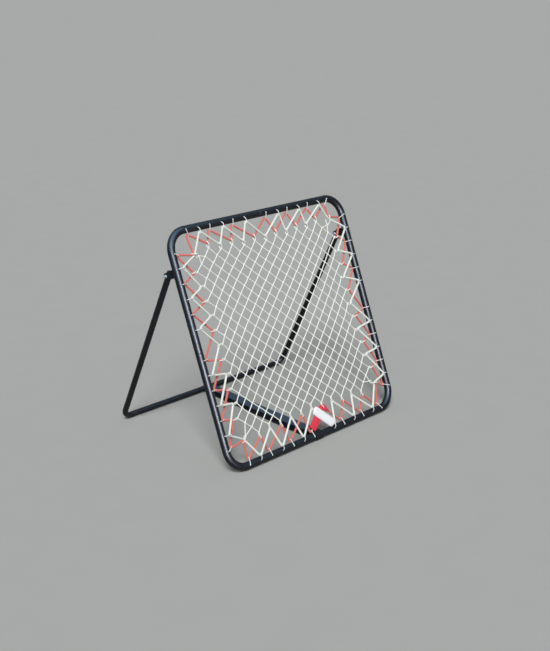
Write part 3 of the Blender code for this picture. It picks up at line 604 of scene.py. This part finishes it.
half_meshes = np.arange(LAST + 1)
knots = knot_place(*np.meshgrid(half_meshes, half_meshes, indexing="ij"))
is_knot = np.add.outer(half_meshes, half_meshes) % 2 == 1
stagger = NET_STAGGER * (-1) ** np.arange(EYES)[:, None]
corner_knots, second_places = {}, []
for side, (far_i, far_j) in zip(SIDES, ((0, 0), (LAST, 0), (LAST, LAST), (0, LAST))):
    knots[border_indices(side)] += outward(side) * stagger
    corner, pull = np.array((*CORNER_KNOTS[side], NET_Z)), np.array((*CORNER_PULLS[side], 0))
    corner_knots[side] = (corner, unit(pull), np.linalg.norm(pull))
    second_places.append((far_i, abs(far_j - 1)))
    knots[abs(far_i - 1), far_j] = knots[second_places[-1]] = corner
print("knots", int(is_knot.sum()))

# %% The net's cords
SHORTEST_CORD = 0.001
CORD_STEPS, CORD_BOW = 6, 0.0005

starts, ends = [], []
for down in (-1, 1):
    i, j = np.nonzero(is_knot[:-1])
    kept = (j + down >= 0) & (j + down <= LAST)
    starts.append(knots[i[kept], j[kept]])
    ends.append(knots[i[kept] + 1, j[kept] + down])
starts, ends = np.concatenate(starts), np.concatenate(ends)
real = np.linalg.norm(ends - starts, axis=1) > SHORTEST_CORD
starts, ends = starts[real], ends[real]
along = np.linspace(0, 1, CORD_STEPS)[:, None]
rng = np.random.default_rng(7)
bow = rng.normal(0, CORD_BOW, (len(starts), 1, 3))
paths = starts[:, None] * (1 - along) + ends[:, None] * along + bow * np.sin(along * math.pi)
strands = swept(paths, circle(NET_CORD_R, 6), (0, 0, 1))
dress(skin("net_strands", on_frame(strands)), net_twine, "frame", "net", "net")
print("net cords", len(paths))

# %% A knot is a lump with two wraps of cord
KNOT_RINGS, KNOT_SIDES = 7, 10
KNOT_HALF = (0.0054, 0.0042, 0.0039)
KNOT_GROOVE = 0.14
KNOT_TURN = (38, 6)


def knot_lumps(name, centres):
    """Eggs: (-cos a, sin a cos t, sin a sin t), with a groove of cos(4 a + t) round each.

    Each lies along one of the two ways of the cords that it ties, by chance.
    """
    a = np.linspace(0.02, math.pi - 0.02, KNOT_RINGS)[:, None]
    t = around(KNOT_SIDES)
    length, width, thickness = KNOT_HALF
    swell = 1 - KNOT_GROOVE * np.cos(4 * a + t)
    egg_x = length * -np.cos(a) * np.ones_like(t)
    egg_y = width * np.sin(a) * np.cos(t) * swell
    egg_z = thickness * np.sin(a) * np.sin(t) * swell
    turn = rng.choice((-1, 1), len(centres)) * rng.normal(*KNOT_TURN, len(centres))
    turn = np.deg2rad(turn)[:, None, None]
    x = egg_x * np.cos(turn) - egg_y * np.sin(turn)
    y = egg_x * np.sin(turn) + egg_y * np.cos(turn)
    lumps = centres[:, None, None] + np.stack((x, y, np.broadcast_to(egg_z, x.shape)), axis=3)
    dress(skin(name, on_frame(lumps), sharp=80), net_twine, "frame", "net")


inner = is_knot.copy()
inner[tuple(zip(*second_places))] = False
knot_lumps("net_knots", knots[inner])

# %% [markdown]
# ## Eyes
# At each border knot a loop of the net's own cord stands out, and the elastic runs through its
# far end. Pulled by the elastic, the loop becomes a drop with its wide end away from the knot.
# It leaves the knot flat in the net and turns upright on the way, so the elastic runs through.

# %% Eyes
EYE_REACH = 0.020
EYE_HALF_WIDTH = 0.0064
CORNER_EYE_HALF_WIDTH = 0.0105
CORNER_EYE_GAP = (0.0085, 0)
EYE_STEPS = 24
EYE_DROP = 0.3
EYE_TWIST_END = 0.75


def eye_paths(knot, way, reach, half_width):
    """out = length / 2 * (1 - cos t), aside = half width * sin t * (1 - drop * cos t)

    The length is the reach of the elastic that pulls the loop, and half of both thicknesses.
    aside turns from level to upright by a smooth step of out, which ends at a share of the
    length. The paths come with their planes' normals.
    """
    t = around(EYE_STEPS)[:, None]
    length = reach + ELASTIC_R + NET_CORD_R
    out = length / 2 * (1 - np.cos(t))
    aside = half_width * np.sin(t) * (1 - EYE_DROP * np.cos(t))
    step = np.clip(out / (EYE_TWIST_END * length), 0, 1)
    twist = math.pi / 2 * step ** 2 * (3 - 2 * step)
    level, upright = np.cross(way, (0, 0, 1))[:, None], np.array((0, 0, 1.0))
    turned_aside = level * np.cos(twist) + upright * np.sin(twist)
    normals = upright * np.cos(twist) - level * np.sin(twist)
    return knot[:, None] + way[:, None] * out + turned_aside * aside, normals


loops = []
for side in SIDES:
    corner, way, reach = corner_knots[side]
    loops.append(eye_paths(corner[None], way[None], reach + CORNER_EYE_GAP[0],
                           CORNER_EYE_HALF_WIDTH))
    border = knots[border_indices(side)]
    loops.append(eye_paths(border, np.broadcast_to(outward(side), border.shape), EYE_REACH,
                           EYE_HALF_WIDTH))
paths, normals = (np.concatenate(parts) for parts in zip(*loops))
eyes = swept(paths, circle(NET_CORD_R, 8), normals, closed=True)
dress(skin("net_eyes", on_frame(eyes), closed=True), net_twine, "frame", "net")
knot_lumps("net_corner_knots", np.array([corner_knots[side][0] for side in SIDES]))

# %% [markdown]
# ## Elastic cords
# Each cord is one closed zigzag: through the eye at a corner, round every second hook, and
# through the eye between each pair. It bends over the round wire or twine there, which a short
# straight piece between two rounded corners gives well enough.

# %% The cords' turning points
ELASTIC_HOOK_FLAT = 0.0042
ELASTIC_EYE_FLAT = 0.0032
ELASTIC_BEND_R = 0.006
HOOKS = HOOK_SLOTS - 1


def elastic_stops(colour):
    """The places where a cord turns, and the hooks' axes, with None for an eye."""
    stops = []
    for side in SIDES:
        corner, way, reach = corner_knots[side]
        stops.append((corner[:2] + way[:2] * (reach + CORNER_EYE_GAP[colour]), None))
        hole, tip = (places[:, :2] for places in hook_places(side))
        border = knots[border_indices(side)][:, :2] + outward(side)[:2] * EYE_REACH
        for number in range(colour, HOOKS, 2):
            stops.append((tip[number], unit(tip[number] - hole[number])))
            if number + 1 <= EYES - colour:
                stops.append((border[number], None))
    return stops


def elastic_points(colour):
    """Two points at each stop, either side of the hook's wire or of the eye's cord."""
    stops = elastic_stops(colour)
    points = []
    for index, (place, axis) in enumerate(stops):
        if axis is None:
            ahead = stops[(index + 1) % len(stops)][0] - stops[index - 1][0]
            across, height = unit(ahead) * ELASTIC_EYE_FLAT, NET_Z
        else:
            across = np.array((-axis[1], axis[0])) * ELASTIC_HOOK_FLAT
            height = ELASTIC_HOOK_Z[colour]
        points += [(*(place - across), height), (*(place + across), height)]
    return np.array(points)


# %% Elastic cords
for colour, word, material in zip((0, 1), COLOURS, (red_elastic, white_elastic)):
    path = rounded(elastic_points(colour)[None], ELASTIC_BEND_R, 5, 6, closed=True)
    grid = swept(path, circle(ELASTIC_R, 14), (0, 0, 1), closed=True)
    dress(skin("cord_" + word, on_frame(grid), closed=True), material, "frame",
          "elastic_" + word, "elastic_" + word)
    print(f"{word} elastic: {running(path, 1)[0, -1]:.2f} m round")

# %% [markdown]
# ## Sleeves
# Where a cord's two ends are tied together, a padded sleeve of cloth hides the join. Each starts
# at a bottom hook. The white one ends before the eye. The red one is gathered, passes through
# the eye with its cord and runs out on the other side. A sleeve's mouth is open at the hook: its
# surface turns over a rounded lip and runs back inside to the cord.

# %% The middle line of a sleeve
SLEEVE_SLOT = (7, 5)


def sleeve_line(colour):
    """The cord's own line from the hook through the next eye, and the metres along it."""
    points = elastic_points(colour)
    _, tips = hook_places("bottom")
    tip = tips[hook_slots("bottom") == SLEEVE_SLOT[colour], :2]
    near = np.linalg.norm(points[:, :2] - tip, axis=1).argsort()[:2]
    near, step = (near.max(), 1) if colour else (near.min(), -1)
    line = rounded(points[near + step * np.arange(4)][None], ELASTIC_BEND_R, 5, 30)[0]
    return line, running(line, 0)[:-1], np.linalg.norm(points[near + step] - points[near])


# %% The width of a sleeve along its line
SLEEVE_HALF_WIDTH = 0.0200
SLEEVE_HALF_THICKNESS = 0.0072
CLOTH = 0.0007
MOUTH_DEPTH = 0.009
CORD_HOLD = ELASTIC_R * 0.96
SLEEVE_RINGS, SLEEVE_SIDES = 56, 48


def sleeve_rings(places, widths, thicknesses):
    """Metres, half widths and half thicknesses ring by ring, from inside the mouth to the end.

    The widths and thicknesses come as shares of the whole sleeve's.
    """
    start, metres = places[0], np.linspace(places[0], places[-1], SLEEVE_RINGS)
    width = np.interp(metres, places, np.array(widths) * SLEEVE_HALF_WIDTH)
    thickness = np.interp(metres, places, np.array(thicknesses) * SLEEVE_HALF_THICKNESS)
    inside = start + MOUTH_DEPTH
    first = np.array([(inside, CORD_HOLD, CORD_HOLD),
                      (inside, width[0] - 2 * CLOTH, thickness[0] - 2 * CLOTH),
                      (start + CLOTH, width[0] - 2 * CLOTH, thickness[0] - 2 * CLOTH),
                      (start, width[0] - CLOTH, thickness[0] - CLOTH)])
    return np.concatenate((first, np.stack((metres, width, thickness), axis=1)))


def red_rings(leg):
    """Narrow at the hook, wide in the middle, drawn together at the eye, out to the cord."""
    start, eye = 0.011, leg + 0.004
    places = (start, start + 0.004, start + 0.012, start + 0.026, eye - 0.030, eye - 0.012,
              eye - 0.004, eye, eye + 0.008, eye + 0.016, eye + 0.03, eye + 0.036)
    widths = (0.82, 0.88, 0.96, 1.0, 1.0, 0.92, 0.72, 0.62, 0.66, 0.56, 0.32, 0.235)
    return sleeve_rings(places, widths, (0.8, 0.9, *[1.0] * 7, 0.95, 0.75, 0.65))


def white_rings(leg):
    """The full width almost from end to end, with round shoulders."""
    start, end = 0.001, leg - 0.009
    places = (start, start + 0.001, start + 0.003, start + 0.007, start + 0.012, end - 0.012,
              end - 0.007, end - 0.003, end - 0.001, end, end + 0.0002)
    widths = (0.62, 0.74, 0.86, 0.96, 1.0, 1.0, 0.96, 0.86, 0.72, 0.55, 0.17)
    return sleeve_rings(places, widths, (0.6, 0.78, 0.92, *[1.0] * 4, 0.9, 0.75, 0.6, 0.46))


# %% Sleeves
CREASE_RISE, CREASE_SPREAD = 0.05, 0.02
PLEAT_RISE, PLEAT_SPREAD = 0.16, 0.10


def squared_cosine(angle, power):
    """cos(angle) with its size to a power below 1, which makes a round section flatter."""
    return np.sign(np.cos(angle)) * np.abs(np.cos(angle)) ** power


def sleeve_grid(line, metres, rings, seed):
    """A flattened tube: |x / wide|^2.6 + |y / thick|^2 = 1. across and up turn with the line.

    Four waves along the sleeve add up to its creases. Where it is drawn together, cos(9 angle)
    gathers it in pleats.
    """
    place, wide, thick = rings.T
    ahead, behind, centre = (
        np.stack([np.interp(place + reach, metres, line[:, k]) for k in range(3)], axis=1)
        for reach in (0.0006, -0.0006, 0))
    along = unit(ahead - behind)
    across = unit(np.cross((0, 0, 1), along))
    up = np.cross(along, across)
    angle = around(SLEEVE_SIDES)
    x = squared_cosine(angle, 0.77)
    y = np.sin(angle)
    phase = np.random.default_rng(seed).uniform(0, 2 * math.pi, 5)
    crease = sum(np.sin(place[:, None] * (90 + 70 * k) + 2.5 * x * (k - 1.5) + phase[k])
                 for k in range(4)) / 4
    drawn = np.clip(1 - wide / SLEEVE_HALF_WIDTH, 0, 1)[:, None]
    pleat = np.cos(9 * angle + phase[4]) * drawn * (wide > 1.2 * ELASTIC_R)[:, None]
    rise = y * thick[:, None] * (1 + CREASE_RISE * crease + PLEAT_RISE * pleat)
    spread = x * wide[:, None] * (1 + CREASE_SPREAD * crease + PLEAT_SPREAD * pleat)
    return (centre[:, None] + across[:, None] * spread[..., None]
            + up[:, None] * rise[..., None])[None]


for colour, word, material, rings in zip((0, 1), COLOURS, (red_sleeve, white_sleeve),
                                         (red_rings, white_rings)):
    line, metres, leg = sleeve_line(colour)
    grid = sleeve_grid(line, metres, rings(leg), seed=colour + 3)
    obj = skin(f"sleeve_{word}_cloth", on_frame(grid), sharp=60)
    dress(obj, material, "frame", "sleeve_" + word, "sleeve_" + word)
    print(f"{word} sleeve on a leg of {leg:.3f} m")

# %% [markdown]
# ## Stand
# The stand is a U of thinner tube. Each leg ends in a black cap just above its pivot bolt.

# %% Stand tubes
def leg_path(sign):
    """From a leg's top down to the ground, round the bend and to the middle of the rail."""
    top = [(FRAME_HALF, LEG_ABOVE_PIVOT - step) for step in END_STEPS]
    centre = (FRAME_HALF - STAND_BEND_R, STAND_BEND_R - LEG_LENGTH)
    bend = arc(centre, STAND_BEND_R, np.linspace(0, -math.pi / 2, 17))
    end = [(GAP / 2 + step, -LEG_LENGTH) for step in END_STEPS[::-1]]
    return np.pad(np.concatenate((top, bend, end)) * (sign, 1), ((0, 0), (0, 1)))


for hand, sign in HANDS:
    path = leg_path(sign)
    grid = swept(path[None], softened(len(path), STAND_TUBE_R), (0, 0, 1))
    dress(skin("stand_" + hand, on_stand(grid)), black_paint, "stand", "stand_tube",
          "stand_tube_" + hand)

# %% [markdown]
# ## Turned and pressed pieces
# Caps, washers, bushes, screws, bolts and dome nuts are all round about one line. A hexagon is
# the same thing with a radius that grows toward its six corners.

# %% Turning a profile
def turned(name, profile, base, axis, *finish, sides=32, flats=0, sharp=35):
    """Points of radius and height, spun about a line through base, and then dressed.

    With flats, no radius is more than flats / cos(a), a from the middle of the nearest flat.
    """
    axis = np.asarray(axis, float)
    side = unit(np.cross(axis, (0.3, 0.2, 0.9)))
    other = np.cross(axis, side)
    angle = around(sides)
    profile = np.asarray(profile, float)
    radius = np.repeat(profile[:, :1], sides, axis=1)
    if flats:
        off = (angle + math.pi / 6) % (math.pi / 3) - math.pi / 6
        radius = np.minimum(radius, flats / np.cos(off))
    ring = side * np.cos(angle)[:, None] + other * np.sin(angle)[:, None]
    grid = (base + axis * profile[:, 1, None, None] + ring * radius[..., None])[None]
    dress(skin(name, grid, sharp=sharp), *finish)


# %% Pivot bolts, nuts and washers: each profile's heights are measured along the pivot's line
EAR_CLEAR = 0.0005
PLATE = 0.0025
EAR_OUTER = STAND_TUBE_R + EAR_CLEAR + PLATE
WASHER_THICKNESS = 0.0012
BOLT_SEAT = EAR_OUTER + WASHER_THICKNESS + 2 * GAP
NUT_FLAT = 0.00575
NUT_CORNER = NUT_FLAT / math.cos(math.pi / 6)
DOME_R = 0.0048
NUT_TOP = BOLT_SEAT + 0.005
HEAD_TOP = BOLT_SEAT + 0.004
WASHER_SEAT = EAR_OUTER + GAP
NUT = [(0.0033, BOLT_SEAT), (NUT_CORNER - 0.0006, BOLT_SEAT), (NUT_CORNER, BOLT_SEAT + 0.0005),
       (NUT_CORNER, NUT_TOP - 0.0009), (NUT_FLAT - 0.0002, NUT_TOP - 0.0001), (0.0049, NUT_TOP),
       *arc((0, NUT_TOP - 0.0018), DOME_R, np.linspace(0.42, 1.55, 9))]
BOLT_HEAD = [(0.0029, BOLT_SEAT - 0.0005), (NUT_CORNER - 0.0004, BOLT_SEAT),
             (NUT_CORNER, BOLT_SEAT + 0.0004), (NUT_CORNER, BOLT_SEAT + 0.0030),
             (NUT_FLAT - 0.0003, HEAD_TOP), (0.0008, HEAD_TOP)]
WASHER = [(radius, WASHER_SEAT + height) for radius, height in (
    (0.0034, 0), (0.0068, 0), (0.0070, 0.0002), (0.0070, 0.0010), (0.0068, WASHER_THICKNESS),
    (0.0034, WASHER_THICKNESS))]

for hand, sign in HANDS:
    centre = on_frame((sign * FRAME_HALF, PIVOT_Y, -PIVOT_BACK))
    way = np.array((sign, 0, 0))
    turned("dome_nut_" + hand, NUT, centre, way, bright, "frame", "dome_nut",
           "pivot_nut_" + hand, sides=48, flats=NUT_FLAT)
    turned("bolt_" + hand, BOLT_HEAD, centre, -way, zinc, "frame", "fastener",
           "pivot_bolt_" + hand, sides=48, flats=NUT_FLAT)
    for place, direction in (("outer", way), ("inner", -way)):
        turned(f"washer_{hand}_{place}", WASHER, centre, direction, zinc, "frame", "fastener",
               f"pivot_washer_{hand}_{place}", sides=40)

# %% Leg caps and bushes
CAP = [(0.009, -0.002), (STAND_TUBE_R - 0.0004, GAP), (STAND_TUBE_R, 0.0007)]
CAP += [(STAND_TUBE_R * math.cos(a) ** 0.6, 0.0012 + 0.0040 * math.sin(a))
        for a in np.linspace(0, 1.5, 8)]
COLLAR = ((0.0034, 0.0120), (0.0054, 0.0120), (0.0054, 0.0124), (0.0034, 0.0124))

for hand, sign in HANDS:
    top = on_stand((sign * FRAME_HALF, LEG_ABOVE_PIVOT, 0))
    turned("cap_" + hand, CAP, top, STAND_AXES[1], cap_plastic, "stand", "cap",
           "leg_cap_" + hand, sharp=50)
    for end, out in (("in", -sign), ("out", sign)):
        turned(f"bush_{hand}_{end}", COLLAR, on_stand((sign * FRAME_HALF, 0, 0)), (out, 0, 0),
               bush_plastic, "stand", "bush", "leg_bush_" + hand)

# %% Small screws
SCREW = ((0.0020, 0.0003), (0.0042, 0.0003), (0.0042, 0.0010), (0.0038, 0.0017),
         (0.0026, 0.0023), (0.0012, 0.0025), (0.0010, 0.0016), (0.0002, 0.0014))
BRACKET_WEB = 0.004
BRACKET_SCREW_STEP = 0.009
STAND_SCREW_X = -0.036


def screw(name, base, axes, body, node):
    """A low round head seen from behind, with a hollow for the driver."""
    turned(name, SCREW, base, -axes[2], zinc, body, "fastener", node, sides=24, sharp=30)


for side in SIDES:
    base = side_place(side, slot_along(EMPTY_SLOT[side]), FRAME_HALF, -FRAME_TUBE_R)
    screw("screw_joint_" + side, on_frame(base), FRAME_AXES, "frame", "joint_screw_" + side)
for hand, sign in HANDS:
    for word, way in (("lower", -1), ("upper", 1)):
        base = (sign * FRAME_HALF, PIVOT_Y + way * BRACKET_SCREW_STEP,
                -FRAME_TUBE_R - GAP - BRACKET_WEB)
        screw(f"screw_bracket_{hand}_{word}", on_frame(base), FRAME_AXES, "frame",
              f"bracket_screw_{hand}_{word}")
screw("screw_stand", on_stand((STAND_SCREW_X, -LEG_LENGTH, -STAND_TUBE_R)), STAND_AXES, "stand",
      "stand_screw")

# %% [markdown]
# ## Pivot brackets
# A strip of steel is bent into a U: it hugs the back of the side tube and its two ears stand
# back on either side of the leg. As a surface it is a flat width carried along the bent line,
# and the width narrows to a half circle round the bolt. Solidify then gives it its thickness.

# %% Pivot brackets
EAR_MIDDLE = EAR_OUTER - PLATE / 2
EAR_RADIUS = 0.013
EAR_GROWS_OVER = 0.035
BRACKET_HALF = 0.017
BRACKET_HUG = math.radians(48)
BRACKET_EDGE = 0.0006


def bracket_grid(sign):
    """The bent line is (x, z): down an ear, round the tube at its radius, and back along.

    Past the bolt the half width is sqrt(ear radius^2 - past^2). Toward the tube it grows from
    the ear's radius to the bracket's half, by a power of 1.5.
    """
    hug = FRAME_TUBE_R + GAP + PLATE / 2
    angle = np.linspace(-math.pi / 2 - BRACKET_HUG, -math.pi / 2 + BRACKET_HUG, 15)
    depth = np.concatenate((EAR_RADIUS * np.sin(np.linspace(math.pi / 2, 0, 9)),
                            -np.linspace(0.004, PIVOT_BACK - 0.021, 6)))
    ear = np.stack((np.full(len(depth), -EAR_MIDDLE), -PIVOT_BACK - depth), axis=1)
    line = np.concatenate((ear, arc((0, 0), hug, angle), (ear * (-1, 1))[::-1]))
    past = np.maximum(-line[:, 1] - PIVOT_BACK, 0)
    round_end = np.sqrt(np.maximum(EAR_RADIUS ** 2 - past ** 2, 1e-8))
    up = np.clip((PIVOT_BACK + line[:, 1]) / EAR_GROWS_OVER, 0, 1)
    half = np.where(past > 0, round_end, EAR_RADIUS + (BRACKET_HALF - EAR_RADIUS) * up ** 1.5)
    y = PIVOT_Y + half[:, None] * np.linspace(-1, 1, 9)
    return np.stack(np.broadcast_arrays(sign * FRAME_HALF + line[:, :1], y, line[:, 1:]), axis=2)


for hand, sign in HANDS:
    grid = on_frame(bracket_grid(sign))
    quads = cells(np.arange(grid.size // 3).reshape(grid.shape[:2])).reshape(-1, 4)
    obj = fill_mesh("bracket_" + hand, grid.reshape(-1, 3), [quads],
                    [np.zeros((*quads.shape, 2))], sharp=50)
    solid = obj.modifiers.new("thickness", "SOLIDIFY")
    solid.thickness, solid.offset, solid.use_even_offset = PLATE, 0, True
    edge = obj.modifiers.new("edge", "BEVEL")
    edge.width, edge.segments, edge.limit_method = BRACKET_EDGE, 2, "ANGLE"
    dress(obj, black_paint, "frame", "bracket", "pivot_bracket_" + hand)

# %% [markdown]
# ## Strap
# A loop of webbing lies flat under both ground tubes and comes back over them. Its section is a
# thin strip with rounded edges, carried along the belt line round the two tubes. The upper run is
# painted lighter and bluer, a painted sky reflection on its top, and the rest is almost black.

# %% Strap
STRAP_WIDTH = 0.050
STRAP_SAG = 0.006
RUN_STEPS, WRAP_STEPS = 42, 18


def belt_line(front, back, front_r, back_r):
    """A belt round two circles in the plane of y and z, with straight runs between the arcs.

    The upper run sags by sag * sin(pi q), q from 0 to 1 along it.
    """
    line = back - front
    lean = math.atan2(line[1], line[0])
    spread = math.acos((front_r - back_r) / np.linalg.norm(line))
    low, high = lean - spread, lean + spread
    round_back = arc(back, back_r, np.linspace(low, high, WRAP_STEPS))
    round_front = arc(front, front_r, np.linspace(high, low + 2 * math.pi, WRAP_STEPS))
    q = np.linspace(0, 1, RUN_STEPS)[1:-1, None]
    over = round_back[-1] * (1 - q) + round_front[0] * q
    under = round_front[-1] * (1 - q) + round_back[0] * q
    over[:, 1] -= STRAP_SAG * np.sin(q[:, 0] * math.pi)
    return np.concatenate((round_back, over, round_front, under))


middle_skin = GAP + STRAP_THICKNESS / 2
line = belt_line(BOTTOM_TUBE[1:], GROUND_RAIL[1:], FRAME_TUBE_R + middle_skin,
                 STAND_TUBE_R + middle_skin)
path = np.concatenate((np.zeros((len(line), 1)), line), axis=1)[None]
flat = np.stack((STRAP_THICKNESS / 2 * squared_cosine(around(32), 0.5),
                 STRAP_WIDTH / 2 * np.sin(around(32))), axis=1)
strap = skin("strap_webbing", swept(path, flat, (1, 0, 0), closed=True), closed=True)
metres = running(path, 1)[0]
length, run_start, run_stop = metres[[-1, WRAP_STEPS, WRAP_STEPS + RUN_STEPS - 2]]
# The strap's own colour is almost black. Its upper run is painted lighter and bluer, a painted sky
# reflection.
webbing = woven("strap_cloth", (0.006, 0.008, 0.013), (0.004, 0.005, 0.008), WEBBING_WEAVE,
                sky_reflection=((0.060, 0.095, 0.150), run_start - SKY_REFLECTION_STEP / 2, run_stop - 0.01),
                sheen=0.05)
strap.data.materials.append(webbing)
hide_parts("spreader_strap")
print(f"webbing: {length:.3f} m round, upper run from {run_start:.3f} to {run_stop:.3f} m")
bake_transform(strap)

# %% [markdown]
# ## Floor, light and camera
# The floor is a plain pale sheet. A soft sun and the pale world light the object. Black paint
# shows little but reflections, so two panels of light are seen only in them: a cool sky above,
# and a strip that draws the bright line along the left tube. The flat brackets would flash it
# at the viewer from behind, so they are left out of its light. The camera stands where the
# photograph's camera stood, worked out from the tubes' edges.

# %% Floor
FLOOR_REACH = 90.0

floor_material, nodes, shader = principled("floor")
speckle = nodes.noise(6.0, 4.0)
nodes.fill(shader, {
    "Roughness": 1.0, "Specular IOR Level": 0.0,
    "Base Color": nodes.mix(speckle, (0.35, 0.36, 0.35, 1), (0.37, 0.38, 0.37, 1))})
floor_mesh = bpy.data.meshes.new("floor")
corners = [(x * FLOOR_REACH, y * FLOOR_REACH, 0) for x, y in ((-1, -1), (1, -1), (1, 1), (-1, 1))]
floor_mesh.from_pydata(corners, [], [(0, 1, 2, 3)])
floor = added("floor", floor_mesh)
floor.data.materials.append(floor_material)

# %% World: seen, also in reflections, a little brighter than it lights, to match the floor
WORLD_LIGHT, WORLD_SEEN = 0.30, 0.40

world = bpy.data.worlds.new("studio")
bpy.context.scene.world = world
world.use_nodes = True
nodes = Nodes(world.node_tree)
rays = nodes.add("LightPath")
seen = nodes.math("MAXIMUM", rays["Is Camera Ray"], rays["Is Glossy Ray"])
seen = nodes.math("MAXIMUM", seen, rays["Is Transmission Ray"])
nodes.fill(world.node_tree.nodes["Background"],
           {"Color": (0.95, 0.97, 1.0, 1),
            "Strength": nodes.spread(seen, WORLD_LIGHT, WORLD_SEEN)})

# %% Lamps
KEY_PLACE = (-2.6, -2.4, 4.5)
SKY_PLACE = (-1.4, -1.2, 4.6)
LAMP_TARGET = (0, 0, 0.4)
STRIP_WAY = Vector((-0.338, -0.891, 0.304))
STRIP_DISTANCE, STRIP_DROP = 3.2, 0.17


def lamp(name, kind, place, target):
    obj = added(name, bpy.data.lights.new(name, kind))
    obj.location = place
    obj.rotation_euler = (Vector(target) - Vector(place)).to_track_quat("-Z", "Y").to_euler()
    obj.visible_camera = False
    return obj


def panel(name, place, target, size, watts, colour):
    """A rectangle of light that shows only in reflections."""
    obj = lamp(name, "AREA", place, target)
    obj.data.shape = "RECTANGLE"
    obj.data.size, obj.data.size_y = size
    obj.data.energy, obj.data.color = watts, colour
    obj.visible_diffuse = False
    return obj


key = lamp("key", "SUN", KEY_PLACE, LAMP_TARGET)
key.data.energy, key.data.angle = 3.25, math.radians(22)
left_tube = Vector((-FRAME_HALF, MIDDLE[1], MIDDLE[2]))
strip_place = left_tube + STRIP_DISTANCE * STRIP_WAY - STRIP_DROP * Vector(FRAME_AXES[1])
strip = panel("strip", strip_place, left_tube, (1.4, 2.4), 760, (0.84, 0.87, 1.0))
panel("sky", SKY_PLACE, LAMP_TARGET, (8.0, 7.0), 1500, (0.36, 0.68, 1.0))
flat_pieces = bpy.data.collections.new("not_lit_by_strip")
strip.light_linking.receiver_collection = flat_pieces
for hand, _ in HANDS:
    flat_pieces.objects.link(bpy.data.objects["bracket_" + hand])
for entry in flat_pieces.collection_objects:
    entry.light_linking.link_state = "EXCLUDE"

# %% Camera
PHOTO_HEIGHT = 651
FOCAL_PIXELS = 1031.74
CAMERA_YAW, CAMERA_PITCH, CAMERA_ROLL = (math.radians(turn) for turn in (43.79, 19.77, 0.18))
CAMERA_FROM_BOTTOM_TUBE = np.array((-2.8664, -2.7274, 1.9137))
SENSOR_HEIGHT = 36.0

ahead = np.array((math.sin(CAMERA_YAW) * math.cos(CAMERA_PITCH),
                  math.cos(CAMERA_YAW) * math.cos(CAMERA_PITCH), -math.sin(CAMERA_PITCH)))
level = np.array((math.cos(CAMERA_YAW), -math.sin(CAMERA_YAW), 0))
over = np.cross(level, ahead)
right = math.cos(CAMERA_ROLL) * level + math.sin(CAMERA_ROLL) * over
up = -math.sin(CAMERA_ROLL) * level + math.cos(CAMERA_ROLL) * over
camera = added("camera", bpy.data.cameras.new("camera"))
camera.data.sensor_fit, camera.data.sensor_height = "VERTICAL", SENSOR_HEIGHT
camera.data.lens = FOCAL_PIXELS * SENSOR_HEIGHT / PHOTO_HEIGHT
turn = np.stack((right, up, -ahead), axis=1)
camera.matrix_world = Matrix.Translation(BOTTOM_TUBE + CAMERA_FROM_BOTTOM_TUBE) @ Matrix(
    turn.tolist()).to_4x4()
bpy.context.scene.camera = camera
bpy.context.scene.view_settings.view_transform = "Standard"
print("camera at", list(camera.location))
